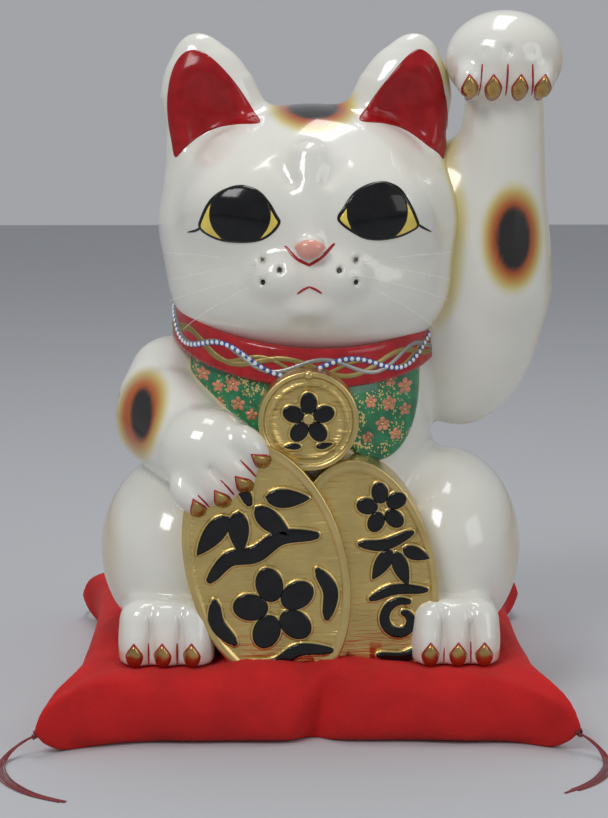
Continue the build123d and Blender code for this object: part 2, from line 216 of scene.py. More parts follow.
def bib_material():
    """Green enamel with drifts of fine gold glitter."""
    shader = Shader("bib_green", (0.02, 0.2, 0.08), 0.3, coat=0.4)
    ground = shader.ramp(shader.noise(110, 4), (0.35, (0.006, 0.13, 0.045)), (0.65, (0.02, 0.24, 0.09)))
    flakes = shader.nodes.new("ShaderNodeTexVoronoi")
    shader.feed(flakes.inputs["Scale"], 900)
    shader.feed(flakes.inputs["Vector"], shader.nodes.new("ShaderNodeTexCoord").outputs["Object"])
    drift = shader.ramp(shader.noise(50), (0.42, (0, 0, 0)), (0.62, (0.34, 0.34, 0.34)))
    fleck = shader.maths("GREATER_THAN", flakes.outputs["Color"], shader.maths("SUBTRACT", 1.0, drift))
    shader.feed("Base Color", shader.mix(fleck, ground, (0.75, 0.58, 0.22)))
    shader.feed("Metallic", shader.maths("MULTIPLY", fleck, 0.7))
    shader.bump(fleck, 0.4, 0.0005)
    return shader.material


def felt_material():
    """Soft red felt: short matted fibres, a sheen, and faint blotches."""
    shader = Shader("red_felt", (0.5, 0.006, 0.008), 0.9, sheen=0.12)
    shader.feed("Sheen Roughness", 0.5)
    shader.feed("Sheen Tint", (1.0, 0.2, 0.15))
    blotch = shader.ramp(shader.noise(35, 4), (0.3, (0.50, 0.004, 0.005)), (0.7, (0.66, 0.008, 0.009)))
    fibre = shader.noise(1500, 3, stretch=(1, 0.35, 1))
    fleck = shader.ramp(fibre, (0.3, (0.75, 0.75, 0.75)), (0.7, (1, 1, 1)))
    shader.feed("Base Color", shader.mix(0.6, blotch, fleck, "MULTIPLY"))
    nap = shader.maths("MULTIPLY", shader.noise(260, 3), 0.7)
    shader.bump(shader.maths("ADD", fibre, nap), 0.45, 0.0006)
    return shader.material


def thread_material():
    """Dark red twisted thread."""
    shader = Shader("red_thread", (0.2, 0.008, 0.015), 0.75, sheen=0.3)
    strand = shader.noise(1800)
    shader.feed("Base Color", shader.ramp(strand, (0.3, (0.13, 0.005, 0.01)), (0.7, (0.28, 0.012, 0.02))))
    shader.bump(strand, 0.6, 0.0003)
    return shader.material


def nylon_material():
    """Clear nylon filament."""
    shader = Shader("nylon", (0.85, 0.85, 0.83), 0.2)
    shader.feed("Alpha", 0.55)
    silver = shader.ramp(shader.noise(500), (0.3, (0.78, 0.78, 0.76)), (0.7, (0.9, 0.9, 0.88)))
    shader.feed("Base Color", silver)
    return shader.material


def rubber_material():
    """Dull grey rubber."""
    shader = Shader("vent_rubber", (0.12, 0.12, 0.12), 0.7)
    dusty = shader.ramp(shader.noise(200, 3), (0.3, (0.09, 0.09, 0.09)), (0.7, (0.16, 0.155, 0.15)))
    shader.feed("Base Color", dusty)
    return shader.material


GLAZE = glaze_material()
RED = enamel_material("red_enamel", (0.40, 0.006, 0.010), gloss=0.35, coat=0.3)
EAR_RED = enamel_material("ear_red", (0.33, 0.004, 0.007), gloss=0.3, coat=0.12)
PINK = enamel_material("nose_pink", (0.80, 0.36, 0.28))
BLACK = enamel_material("black_enamel", (0.003, 0.003, 0.0035), 0.12, gloss=0.3, coat=0.12)
YELLOW = enamel_material("iris_yellow", (0.80, 0.62, 0.10))
BLUE = enamel_material("blue_enamel", (0.03, 0.09, 0.34))
WHITE = enamel_material("white_dot", (0.85, 0.85, 0.84))
SALMON = enamel_material("salmon_enamel", (0.66, 0.24, 0.13), 0.4, 0.35)
OLIVE = gold_material("olive_gold", (0.40, 0.30, 0.12), 0.45)
SILVER = gold_material("grey_silver", (0.40, 0.40, 0.38), 0.45)
GOLD = gold_material("gold_lustre")
COIN_GOLD = gold_material("hammered_gold", (0.66, 0.50, 0.19), 0.36, lines=0.7)
CLAW_GOLD = gold_material("claw_gold", (0.50, 0.33, 0.12), 0.28)
BIB = bib_material()
FELT = felt_material()
THREAD = thread_material()
NYLON = nylon_material()
RUBBER = rubber_material()
FLOOR = Shader("pale_floor", (0.50, 0.51, 0.53), 0.85).material


# ---- small helpers ----
def unit(vectors):
    """Vectors, one a row, at length 1."""
    return vectors / np.maximum(np.linalg.norm(vectors, axis=1), 1e-9)[:, None]


def turned(u, v, x, z, turn):
    """Flat points turned by degrees and moved to (x, z)."""
    c, s = cos(radians(turn)), sin(radians(turn))
    return np.stack([x + u * c - v * s, z + u * s + v * c], 1)


def merged(parts):
    """Several (points, faces) as one."""
    points, faces, shift = [], [], 0
    for p, f in parts:
        points.append(p)
        faces += [tuple(i + shift for i in face) for face in f]
        shift += len(p)
    return np.vstack(points), faces


# ---- solid fields: distance in mm, negative inside ----
def ball(p, centre, radii, turn=(0, 0, 0)):
    """An ellipsoid, turned by degrees about X, Y and Z."""
    q = p - np.array(centre, float)
    if any(turn):
        q = q @ np.array(Euler([radians(a) for a in turn]).to_matrix())
    radii = np.array(radii, float)
    near = np.linalg.norm(q / radii, axis=1)
    slope = np.linalg.norm(q / radii**2, axis=1)
    return near * (near - 1) / np.maximum(slope, 1e-9)


def limb(p, start, start_radius, end, end_radius):
    """A tapered limb with round ends."""
    start, end = np.array(start, float), np.array(end, float)
    along = end - start
    t = np.clip((p - start) @ along / (along @ along), 0, 1)
    radius = start_radius + (end_radius - start_radius) * t
    return np.linalg.norm(p - start - t[:, None] * along, axis=1) - radius


def block(p, centre, half, radius):
    """A box with rounded edges."""
    q = np.abs(p - np.array(centre, float)) - (np.array(half, float) - radius)
    return np.linalg.norm(np.maximum(q, 0), axis=1) + np.minimum(q.max(axis=1), 0) - radius


def join(first, second, blend):
    """Union with a soft crease of that width."""
    h = np.clip(0.5 + 0.5 * (second - first) / blend, 0, 1)
    return second + (first - second) * h - blend * h * (1 - h)


def carve(first, second, blend):
    """first with second hollowed out of it."""
    return -join(-first, second, blend)


def torso_field(p):
    """Body, from the seat to inside the head."""
    return limb(p, (0, -6, SEAT + 29), 90, (0, -8, SEAT + 147), 78)


def haunch_field(p, side):
    """A thigh: -1 is on the viewer's left."""
    if side < 0:
        return ball(p, (-77, -28, SEAT + 54), (51, 68, 60))
    return ball(p, (88, -27, SEAT + 55), (47, 67, 61))


FEET = {-1: (-84.0, 28.5), 1: (89.0, 26.5)}
FOOT_FRONT = -117.0
FOOT_TOP = 38.0


def foot_field(p, side):
    """A hind paw: a blunt block whose three toes part in front."""
    x, half = FEET[side]
    pad = block(p, (x, FOOT_FRONT + 37, SEAT + FOOT_TOP / 2 - 5), (half - 0.5, 34, FOOT_TOP / 2 + 5), 13)
    toes = None
    for step in (-1, 0, 1):
        toe = ball(p, (x + step * half * 0.62, FOOT_FRONT + 15, SEAT + 11), (half * 0.36, 16.5, 19))
        toes = toe if toes is None else join(toes, toe, 2)
    foot = join(pad, toes, 4)
    for step in (-1, 1):
        gap = x + step * half * 0.31
        groove = limb(p, (gap, FOOT_FRONT + 1, SEAT), 1.6, (gap, FOOT_FRONT + 7, SEAT + 34), 1.0)
        foot = carve(foot, groove, 4)
    return foot


PAW_CLAWS = (98.5, 112.5, 128.5, 142.5)


def raised_arm_field(p):
    """A broad upper arm behind the cheek, a forearm, and a round paw that hooks forward over its toes."""
    upper = ball(p, (98, -4, SEAT + 217), (54.5, 37, 90))
    forearm = limb(p, (121, -8, SEAT + 221), 31.5, (123, -14, SEAT + 326), 24.5)
    paw = ball(p, (121.8, -23, PAW_TOP - 29.5), (35.8, 33, 29.5))
    for x in PAW_CLAWS:
        paw = join(paw, ball(p, (x, -41, PAW_TOP - 41), (8.3, 13, 11)), 4)
    for x in (105.5, 120.5, 135.5):
        paw = carve(paw, ball(p, (x, -56, PAW_TOP - 25), (2.2, 3.6, 3.2)), 3)
    return join(join(upper, forearm, 14), paw, 4)


REST_CLAWS = ((-26.5, 165.0), (-37.0, 151.0), (-50.0, 142.0), (-64.0, 136.0))


def resting_arm_field(p):
    """Shoulder, elbow out to the side, and a paw whose four toes hold the rim of the front coin."""
    upper = limb(p, (-83, -12, SEAT + 157), 28, (-89, -28, SEAT + 145), 28)
    fore = limb(p, (-86, -42, SEAT + 138), 31.5, (-60, -84, SEAT + 122), 27)
    paw = ball(p, (-55, -94, SEAT + 123), (32, 24, 27), (0, 35, 0))
    for x, z in REST_CLAWS:
        paw = join(paw, ball(p, (x - 6.0, -108, z + 8.0), (8.6, 11, 14), (0, -38, 0)), 7)
    for (xa, za), (xb, zb) in zip(REST_CLAWS, REST_CLAWS[1:]):
        x, z = (xa + xb) / 2, (za + zb) / 2
        paw = carve(paw, limb(p, (x + 1, -122, z - 1), 1.2, (x - 13, -117, z + 15), 1.2), 4)
    return join(join(fore, paw, 8), upper, 3)


def tail_field(p):
    """A stub of a tail."""
    return ball(p, (5, 84, SEAT + 36), (20, 20, 23))


RECESS_Y = -7.0
RECESS_RADIUS = 62.0
RECESS_DEPTH = 14
VENT_RADIUS = 12.4
VENT_DEPTH = 30


def base_hollow(p):
    """The recess under the base, and the vent in it."""
    radial = np.hypot(p[:, 0], p[:, 1] - RECESS_Y)
    recess = np.maximum(radial - RECESS_RADIUS, p[:, 2] - SEAT - RECESS_DEPTH)
    vent = np.maximum(radial - VENT_RADIUS, p[:, 2] - SEAT - VENT_DEPTH)
    return np.minimum(recess, vent)


def body_field(p):
    """The whole glazed body below the head."""
    d = torso_field(p)
    for side in (-1, 1):
        d = join(d, haunch_field(p, side), 9)
    for side in (-1, 1):
        d = join(d, foot_field(p, side), 4)
    d = join(d, raised_arm_field(p), 9)
    d = join(d, resting_arm_field(p), 6)
    d = join(d, tail_field(p), 6)
    d = carve(d, p[:, 2] - SEAT - 0.2, 3)
    return carve(d, base_hollow(p), 1.5)


HEAD_CENTRE = (4.2, -9.0, SEAT + 255)
FACE_X = 1.5
EAR_Y = -13
EAR_FLATNESS = 0.6


def ear_field(p, side):
    """An ear with a hollow front: side -1 is on the viewer's left."""
    q = p.copy()
    q[:, 1] = (q[:, 1] - EAR_Y) / EAR_FLATNESS + EAR_Y
    middle = 2 if side > 0 else 0
    low, knee, top = ((middle + side * x, EAR_Y) for x in (47, 61, 66))
    horn = limb(q, (*low, SEAT + 296), 41, (*knee, SEAT + 341), 25)
    tip = limb(q, (*knee, SEAT + 340), 25, (*top, SEAT + 361), 9.5)
    hollow = ball(p, (middle + side * 60, -40, SEAT + 322), (25, 18, 37), (0, side * 16, 0))
    return carve(join(horn * EAR_FLATNESS, tip * EAR_FLATNESS, 9), hollow, 4)


DIMPLES = [(27.5, 239.5), (17.5, 234.0), (27.0, 227.0)]


def head_field(p):
    """Skull, jaw, cheeks, brow, muzzle and ears."""
    d = ball(p, HEAD_CENTRE, (95.3, 80, 74.5))
    d = join(d, ball(p, (4.5, -16, SEAT + 222), (89, 79, 56)), 10)
    for side in (-1, 1):
        d = join(d, ball(p, (FACE_X + side * 41, -62, SEAT + 268), (28, 21, 21)), 22)
        d = join(d, ear_field(p, side), 7)
    d = join(d, limb(p, (FACE_X, -85, SEAT + 250), 8, (FACE_X, -70, SEAT + 298), 10), 8)
    for side in (-1, 1):
        outer, inner = (FACE_X + side * 20, -79, SEAT + 299), (FACE_X + side * 11, -84, SEAT + 286)
        furrow = limb(p, outer, 1.5, inner, 1.5)
        d = carve(d, furrow, 7)
        d = join(d, ball(p, (FACE_X + side * 15, -83, SEAT + 229), (20, 16, 14)), 8)
    d = join(d, ball(p, (FACE_X, -84, SEAT + 212), (15, 13, 8)), 6)
    d = join(d, ball(p, (1.7, -96, SEAT + 247.5), (8.5, 6.5, 6)), 3)
    for side in (-1, 1):
        for x, z in DIMPLES:
            y = -90 if x > 20 else -95
            d = carve(d, ball(p, (FACE_X + side * x, y, SEAT + z), (1.7, 6.5, 2.0)), 2.5)
    return d


COLLAR_RADIUS = 72.5


def collar_line(angle):
    """Height of the collar's middle at an angle from the front: it dips at the throat."""
    return NECK + 6.5 - 18.5 * np.maximum(np.cos(angle), 0) ** 1.3


def collar_field(p):
    """A padded band round the neck."""
    x, y = p[:, 0] / 1.02, p[:, 1] + 8
    radial = np.hypot(x, y)
    height = p[:, 2] - collar_line(np.arctan2(np.abs(x), -y)) + 0.05 * p[:, 0]
    q = np.abs(np.stack([radial - COLLAR_RADIUS + 0.1 * height, height], 1)) - np.array([6.0, 9.5])
    return np.linalg.norm(np.maximum(q, 0), axis=1) + np.minimum(q.max(axis=1), 0) - 2.0


# ---- mesh making ----
def slope_of(field, p, reach=0.15):
    """Outward unit normals of a field."""
    steps = np.eye(3) * reach
    return unit(np.stack([field(p + s) - field(p - s) for s in steps], 1))


def field_values(field, axes):
    """A field on a grid, slab by slab."""
    nx, ny, nz = (len(a) for a in axes)
    values = np.empty((nx, ny, nz), np.float32)
    yz = np.stack(np.meshgrid(axes[1], axes[2], indexing="ij"), -1).reshape(-1, 2)
    for i in range(0, nx, 8):
        part = axes[0][i : i + 8]
        p = np.concatenate([np.column_stack([np.full(len(yz), x), yz]) for x in part])
        values[i : i + 8] = field(p).reshape(len(part), ny, nz)
    return values


def skin(field, low, high, step):
    """A closed quad mesh of a field's surface, as (points, quads)."""
    axes = [np.arange(a, b + step, step) for a, b in zip(low, high)]
    values = field_values(field, axes)
    inside = values < 0
    shape = tuple(n - 1 for n in inside.shape)
    total, count = np.zeros(shape + (3,)), np.zeros(shape)
    corners = [(i, j, k) for i in (0, 1) for j in (0, 1) for k in (0, 1)]

    def at(array, corner):
        return array[tuple(slice(c, c + n) for c, n in zip(corner, shape))]

    for corner in corners:
        for axis in range(3):
            if corner[axis]:
                continue
            other = tuple(c + (a == axis) for a, c in enumerate(corner))
            va, vb = at(values, corner), at(values, other)
            cross = (va < 0) != (vb < 0)
            t = np.where(cross, va / np.where(cross, va - vb, 1), 0)
            for a in range(3):
                total[..., a] += np.where(cross, corner[a] + (t if a == axis else 0), 0)
            count += cross
    active = count > 0
    index = -np.ones(shape, np.int64)
    index[active] = np.arange(active.sum())
    cells = np.argwhere(active)
    points = np.array([a[0] for a in axes]) + (cells + total[active] / count[active][:, None]) * step
    quads = []
    for axis in range(3):
        u, v = [a for a in range(3) if a != axis]
        span = [slice(1, n) for n in shape]
        span[axis] = slice(0, shape[axis])
        here = inside[tuple(span)]
        ahead = list(span)
        ahead[axis] = slice(1, shape[axis] + 1)
        change = here != inside[tuple(ahead)]
        offset = np.ones(3, int)
        offset[axis] = 0
        base = np.argwhere(change) + offset
        ring = []
        for du, dv in ((-1, -1), (0, -1), (0, 0), (-1, 0)):
            c = base.copy()
            c[:, u] += du
            c[:, v] += dv
            ring.append(index[c[:, 0], c[:, 1], c[:, 2]])
        ring = np.stack(ring, 1)
        flip = here[change] ^ (axis == 1)
        ring[~flip] = ring[~flip][:, ::-1]
        quads.append(ring)
    for _ in range(2):
        d = field(points)
        points = points - slope_of(field, points) * np.clip(d, -step, step)[:, None]
    return points, np.concatenate(quads)


def mesh_object(name, points, faces, material):
    """A smooth mesh object from points in mm."""
    mesh = bpy.data.meshes.new(name)
    mesh.from_pydata((np.asarray(points) * MM).tolist(), [], [[int(i) for i in face] for face in faces])
    mesh.validate()
    mesh.polygons.foreach_set("use_smooth", [True] * len(mesh.polygons))
    mesh.materials.append(material)
    item = bpy.data.objects.new(name, mesh)
    bpy.context.scene.collection.objects.link(item)
    return item


def rework(item, change=None):
    """Runs a change on a mesh's bmesh, and turns its faces outwards."""
    mesh = bmesh.new()
    mesh.from_mesh(item.data)
    if change:
        change(mesh)
    bmesh.ops.recalc_face_normals(mesh, faces=mesh.faces)
    mesh.to_mesh(item.data)
    mesh.free()


def paint(item, masks):
    """Stores masks, name to values, on a mesh's points."""
    for name, values in masks.items():
        layer = item.data.attributes.new(name, "FLOAT", "POINT")
        layer.data.foreach_set("value", np.asarray(values, np.float32))


def ease(low, high, value):
    """0 below low, 1 above high, smooth between; low may be the larger."""
    t = np.clip((value - low) / (high - low), 0, 1)
    return t * t * (3 - 2 * t)


def finish_piece(item, body, slot, *nodes):
    """Rides a piece on its body, and lets it stand for its CAD nodes by hiding them. The slot is not used."""
    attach(item, body)
    if nodes:
        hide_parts(*nodes)
    return item


# ---- enamel patches ----
def bend(a, b, c, d, per):
    """Points of a smooth line from b towards c, with neighbours a and d."""
    cubic = 3 * b - a - 3 * c + d
    square = 2 * a - 5 * b + 4 * c - d
    return [0.5 * (2 * b + (c - a) * t + square * t**2 + cubic * t**3) for t in np.arange(per) / per]


def loop(points, per=8):
    """A smooth closed line through points."""
    p = np.array(points, float)
    n = len(p)
    out = []
    for i in range(n):
        out += bend(p[i - 1], p[i], p[(i + 1) % n], p[(i + 2) % n], per)
    return np.array(out)


def line(points, per=8):
    """A smooth open line through points."""
    p = np.array(points, float)
    p = np.vstack([2 * p[0] - p[1], p, 2 * p[-1] - p[-2]])
    out = []
    for i in range(1, len(p) - 2):
        out += bend(*p[i - 1 : i + 3], per)
    return np.array(out + [p[-2]])


def stroke(points, width, taper=1.0, per=8):
    """The outline of a brush stroke along points: taper is the end width over the middle width."""
    p = line(points, per) if len(points) > 2 else np.linspace(*np.array(points, float), 7)
    t = unit(np.gradient(p, axis=0))
    side = np.stack([-t[:, 1], t[:, 0]], 1)
    s = np.linspace(-1, 1, len(p))
    half = width / 2 * (taper + (1 - taper) * (1 - s**2) ** 0.6)[:, None]
    turns = np.linspace(0, pi, 7)[1:-1]
    caps = []
    for end, direction, start_side in ((p[-1], t[-1], side[-1]), (p[0], -t[0], -side[0])):
        caps.append(np.array([end + half[0] * (start_side * cos(a) + direction * sin(a)) for a in turns]))
    return np.vstack([p + side * half, caps[0], (p - side * half)[::-1], caps[1]])


def oval(x, z, rx, rz, turn=0.0, count=40):
    """The outline of an ellipse."""
    a = np.linspace(0, 2 * pi, count, endpoint=False)
    return turned(rx * np.cos(a), rz * np.sin(a), x, z, turn)


def sides_of(outline):
    """Unit normals of a closed outline, to the left of its direction."""
    ahead = np.roll(outline, -1, 0) - np.roll(outline, 1, 0)
    return unit(np.stack([-ahead[:, 1], ahead[:, 0]], 1))


def shrink(outline, amount):
    """The outline moved inwards."""
    following = np.roll(outline, -1, 0)
    area = 0.5 * np.sum(outline[:, 0] * following[:, 1] - following[:, 0] * outline[:, 1])
    return outline + sides_of(outline) * amount * (1 if area > 0 else -1)


def edge_distance(points, outline):
    """How far each point is from a closed outline, and whether it is inside it."""
    near = np.full(len(points), 1e9)
    inside = np.zeros(len(points), bool)
    for a, b in zip(outline, np.roll(outline, -1, 0)):
        d = b - a
        t = np.clip((points - a) @ d / max(d @ d, 1e-12), 0, 1)
        near = np.minimum(near, np.linalg.norm(points - a - t[:, None] * d, axis=1))
        crosses = (a[1] > points[:, 1]) != (b[1] > points[:, 1])
        with np.errstate(divide="ignore", invalid="ignore"):
            x = a[0] + (points[:, 1] - a[1]) * d[0] / (d[1] if d[1] else 1e-12)
        inside ^= crosses & (points[:, 0] < x)
    return near, inside


def resample(outline, step):
    """The outline with points about step apart."""
    out = []
    for a, b in zip(outline, np.roll(outline, -1, 0)):
        count = max(1, int(round(np.linalg.norm(b - a) / step)))
        out += [a + (b - a) * i / count for i in range(count)]
    return np.array(out)


def onto(field, start_y=-200.0, middle_y=-40.0):
    """A way to lay a flat (x, z) pattern on the front of a field: points and their outward normals.

    What would pass beside the silhouette is drawn back to it.
    """

    def place(flat):
        p = np.column_stack([flat[:, 0], np.full(len(flat), start_y), flat[:, 1]])
        for _ in range(70):
            d = field(p)
            p[:, 1] += np.clip(d, -20, 20) * 0.9
            p[:, 1] = np.minimum(p[:, 1], 60)
        missed = np.abs(field(p)) > 0.4
        if missed.any():
            q = p[missed]
            q[:, 1] = middle_y
            for _ in range(30):
                q = q - slope_of(field, q, 0.4) * (field(q) * 0.8)[:, None]
            p[missed] = q
        return p, slope_of(field, p, 0.4)

    return place


def flat_face(x, z, y, turn=0.0):
    """A way to lay a flat (u, v) pattern on an upright plane that faces -Y."""

    def place(flat):
        p = np.insert(turned(flat[:, 0], flat[:, 1], x, z, turn), 1, y, axis=1)
        return p, np.tile((0.0, -1.0, 0.0), (len(p), 1))

    return place


def patch_mesh(outline, place, thickness, step=1.2, edge=None, lift=0.0, sink=0.8):
    """A thin raised skin with rounded edges over an outline, as (points, faces)."""
    outline = resample(np.asarray(outline, float), step)
    edge = edge or thickness
    across, up = (np.arange(a, b, step) for a, b in zip(outline.min(0), outline.max(0)))
    grid = np.stack(np.meshgrid(across, up), -1).reshape(-1, 2)
    near, inside = edge_distance(grid, outline)
    grid = grid[inside & (near > 0.55 * step)]
    inner = []
    if edge < 3 * step:
        for sign in (1, -1):
            q = outline + sign * sides_of(outline) * edge * 0.4
            d, ok = edge_distance(q, outline)
            inner.append(q[ok & (d > edge * 0.3)])
    points = np.vstack([outline, grid] + inner)
    n = len(outline)
    edges = [(i, (i + 1) % n) for i in range(n)]
    flat, _, faces, *_ = delaunay_2d_cdt([Vector(p) for p in points], edges, [], 1, 1e-5)
    flat = np.array([tuple(p) for p in flat])
    near, _ = edge_distance(flat, outline)
    rise = np.clip(near / edge, 0, 1)
    height = lift + thickness * np.sqrt(np.maximum(1 - (1 - rise) ** 2, 0)) + 0.02
    p, normal = place(flat)
    top = p + normal * height[:, None]
    under = p - normal * sink
    count = len(flat)
    used = {}
    for f in faces:
        for a, b in zip(f, f[1:] + f[:1]):
            used[(a, b)] = used.get((a, b), 0) + 1
    rim = [(a, b) for a, b in used if (b, a) not in used]
    all_faces = [tuple(f) for f in faces]
    all_faces += [tuple(count + i for i in reversed(f)) for f in faces]
    all_faces += [(b, a, a + count, b + count) for a, b in rim]
    return np.vstack([top, under]), all_faces


def patches(name, outlines, place, thickness, material, slot="red_enamel", nodes=(), **options):
    """One object of one or more raised skins."""
    skins = [patch_mesh(outline, place, thickness, **options) for outline in outlines]
    item = mesh_object(name, *merged(skins), material)
    rework(item)
    return finish_piece(item, "cat", slot, *nodes)


# ---- tassels ----
TASSEL_FLOOR = 1.6
TASSELS = {
    "front_right": [(-151, -151, 14), (-161, -154, 12), (-171, -160, 6), (-176, -171), (-174, -186),
        (-168, -201),
                    (-158, -215), (-146, -226), (-133, -233)],
    "front_left": [(151, -151, 14), (160, -155, 12), (168, -163, 6), (171, -174), (167, -189), (160, -203),
                   (150, -215), (139, -223)],
    "back_left": [(151, 151, 14), (154, 161, 12), (152, 172, 6), (144, 180), (130, 185), (114, 187),
        (99, 184),
                  (86, 177)],
    "back_right": [(-151, 151, 14), (-155, 161, 12), (-154, 172, 6), (-147, 181), (-134, 188), (-119, 192),
                   (-103, 191), (-89, 186)],
}
THREADS = 7
THREAD_RADIUS = 0.32
BUNCHED = 0.8
LOOSENED = 2.7
KNOT_TURNS = 3
KNOT_LENGTH = 3.2
KNOT_THREAD_RADIUS = 0.55


def smooth_route(route):
    """Points of a NURBS curve through a route's control points. Those without a height lie on the floor."""
    data = bpy.data.curves.new("guide", "CURVE")
    data.dimensions = "3D"
    spline = data.splines.new("NURBS")
    spline.points.add(len(route) - 1)
    for slot, point in zip(spline.points, route):
        x, y, z = point if len(point) == 3 else (*point, TASSEL_FLOOR)
        slot.co = (x * MM, y * MM, z * MM, 1)
    spline.order_u = 3
    spline.use_endpoint_u = True
    spline.resolution_u = 10
    guide = bpy.data.objects.new("guide", data)
    mesh = bpy.data.meshes.new_from_object(guide)
    bpy.data.objects.remove(guide)
    return np.array([tuple(v.co) for v in mesh.vertices]) / MM


def directions(path):
    """Unit vectors along a path, and level across it."""
    along = unit(np.gradient(path, axis=0))
    return along, unit(np.cross(along, (0, 0, 1.0)))


def tube(path, radius, sides=7):
    """A closed tube along a path, as (points, faces)."""
    along, side = directions(path)
    up = np.cross(side, along)
    a = np.linspace(0, 2 * pi, sides, endpoint=False)
    ring = side[:, None] * np.cos(a)[:, None] + up[:, None] * np.sin(a)[:, None]
    n = len(path)
    faces = []
    for i in range(n - 1):
        for j in range(sides):
            k = (j + 1) % sides
            faces.append((i * sides + j, i * sides + k, (i + 1) * sides + k, (i + 1) * sides + j))
    faces.append(tuple(range(sides))[::-1])
    faces.append(tuple((n - 1) * sides + j for j in range(sides)))
    return (path[:, None] + radius * ring).reshape(-1, 3), faces


def knot_coil(path, at=4):
    """A few turns of thread round a path at one of its points."""
    along, side = directions(path)
    coil = []
    for a in np.linspace(0, 2 * pi * KNOT_TURNS, 60):
        r = 2.0 + 0.25 * sin(2.3 * a)
        ahead = (a / (2 * pi * KNOT_TURNS) - 0.5) * KNOT_LENGTH
        coil.append(path[at] + side[at] * r * cos(a) + np.array((0, 0, 1.0)) * r * sin(a) + along[at] * ahead)
    return tube(np.array(coil), KNOT_THREAD_RADIUS)


def add_tassel(name, route, seed):
    """A hank of threads that follows its route and loosens on the way, with a knot at the corner."""
    random = np.random.default_rng(seed)
    path = smooth_route(route)
    side = directions(path)[1]
    s = np.linspace(0, 1, len(path))
    whole = (THREADS // 2, THREADS // 2 - 1)
    threads = []
    for i in range(THREADS):
        spread = (i - (THREADS - 1) / 2) / THREADS * 2
        wave = np.sin(s * random.uniform(4, 8) + random.uniform(0, 6)) * 0.25
        across = spread * (BUNCHED + LOOSENED * np.sin(pi * s * 0.8) ** 2) + wave
        lift = np.abs(np.sin(s * random.uniform(5, 9) + i)) * 0.7 * (1 - s)
        strand = path + side * across[:, None]
        lowered = strand[:, 2] - (TASSEL_FLOOR - THREAD_RADIUS - 0.1) + lift
        strand[:, 2] = np.maximum(lowered, THREAD_RADIUS + 0.05)
        trimmed = int(random.integers(0, max(2, len(path) // 14)))
        keep = len(path) - (0 if i in whole else trimmed)
        threads.append(tube(strand[:keep], THREAD_RADIUS))
    hank = mesh_object(f"{name}_tassel_threads", *merged(threads), THREAD)
    finish_piece(hank, "cushion", "red_thread", f"{name}_tassel")
    knot = mesh_object(f"{name}_tassel_knot", *knot_coil(path), THREAD)
    finish_piece(knot, "cushion", "red_thread")


for number, (corner, route) in enumerate(TASSELS.items()):
    add_tassel(corner, route, number)


# ---- glazed body and head ----
def spot(p, centre, black, halo, fringe=1.35):
    """Masks of an airbrushed spot: black core, amber halo, lemon fringe."""
    q = p - np.array(centre, float)
    core = np.linalg.norm(q / np.array(black, float), axis=1)
    ring = np.linalg.norm(q / np.array(halo, float), axis=1)
    return ease(1.12, 0.86, core), ease(1.12, 0.7, ring), ease(fringe + 0.1, 0.95, ring)


def over(*layers):
    """The strongest of several masks."""
    return np.maximum.reduce(layers)


BLUSH_SPOTS = [(122, -50, SEAT + 340), (-46, -118, SEAT + 106), (-84, -115, SEAT + 8), (91, -115, SEAT + 8)]


def add_body():
    """Torso, arms, haunches, hind paws and tail as the one glazed skin they are fired into."""
    points, quads = skin(body_field, (-135, -125, SEAT - 3), (160, 112, PAW_TOP + 3), 2.2)
    points[:, 2] = np.maximum(points[:, 2], SEAT)
    item = mesh_object("glazed_body", points, quads, GLAZE)
    arm = spot(points, (127.5, -42, SEAT + 248), (11, 34, 20), (17.5, 40, 29), 1.2)
    low = spot(points, (-98, -58, SEAT + 143), (8.6, 30, 17), (16.5, 34, 25), 1.2)
    # Painted shade: lemon where the raised arm meets the head and in the crease between torso and resting
    # arm; amber and lemon on the sideways-facing sides of the haunches and arms.
    shade_by_head = ease(9, 1, head_field(points)) * ease(60, 100, points[:, 0])
    torso, resting = torso_field(points), resting_arm_field(points)
    crease = ease(7, 1, np.abs(torso) + np.abs(resting)) * (points[:, 2] > SEAT + 140)
    faces_out = np.abs(slope_of(body_field, points, 0.5)[:, 0])
    side_shade = ease(0.72, 1.0, faces_out) * ease(95, 120, np.abs(points[:, 0])) * 0.5
    claws = np.minimum.reduce([np.linalg.norm(points - np.array(c), axis=1) for c in BLUSH_SPOTS])
    paint(
        item,
        {
            "black_and_shade": over(arm[0], low[0]),
            "amber": over(arm[1], low[1], side_shade * 0.35),
            "lemon": over(arm[2], low[2], shade_by_head * 0.9, crease * 0.7, side_shade),
            "blush": ease(22, 8, claws) * 0.16,
        },
    )
    finish_piece(
        item,
        "cat",
        "glazed_white",
        "torso_casting",
        "raised_arm_casting",
        "raised_paw_casting",
        "resting_arm_casting",
        "right_hind_paw",
        "left_hind_paw",
        "bob_tail",
    )


def add_head():
    """Skull, muzzle and ears as one glazed skin."""
    points, quads = skin(head_field, (-98, -108, NECK - 12), (98, 76, SEAT + 374), 1.9)
    item = mesh_object("glazed_head", points, quads, GLAZE)
    crown = spot(points, (5, -27, SEAT + 329), (16, 27, 13), (23.5, 38, 22), 1.2)
    # Painted shade: lemon on the head where the raised arm presses against it.
    shade_by_arm = ease(8, 0, raised_arm_field(points)) * ease(60, 85, points[:, 0])
    wells = [
        np.linalg.norm(points[:, [0, 2]] - np.array((FACE_X + side * x, SEAT + z)), axis=1)
        for side in (-1, 1)
        for x, z in DIMPLES
    ]
    # Painted shade in the whisker dimples, laid into the near-black mask.
    shade = ease(2.9, 0.4, np.minimum.reduce(wells)) * (points[:, 1] < -60)
    from_chin = np.linalg.norm(points - np.array((FACE_X, -98, SEAT + 222)), axis=1)
    paint(
        item,
        {
            "black_and_shade": over(crown[0], shade * 0.2),
            "amber": crown[1],
            "lemon": over(crown[2], shade_by_arm * 0.9),
            "blush": ease(16, 5, from_chin) * 0.12,
        },
    )
    finish_piece(item, "cat", "glazed_white", "head_casting", "muzzle", "right_ear", "left_ear")


add_body()
add_head()

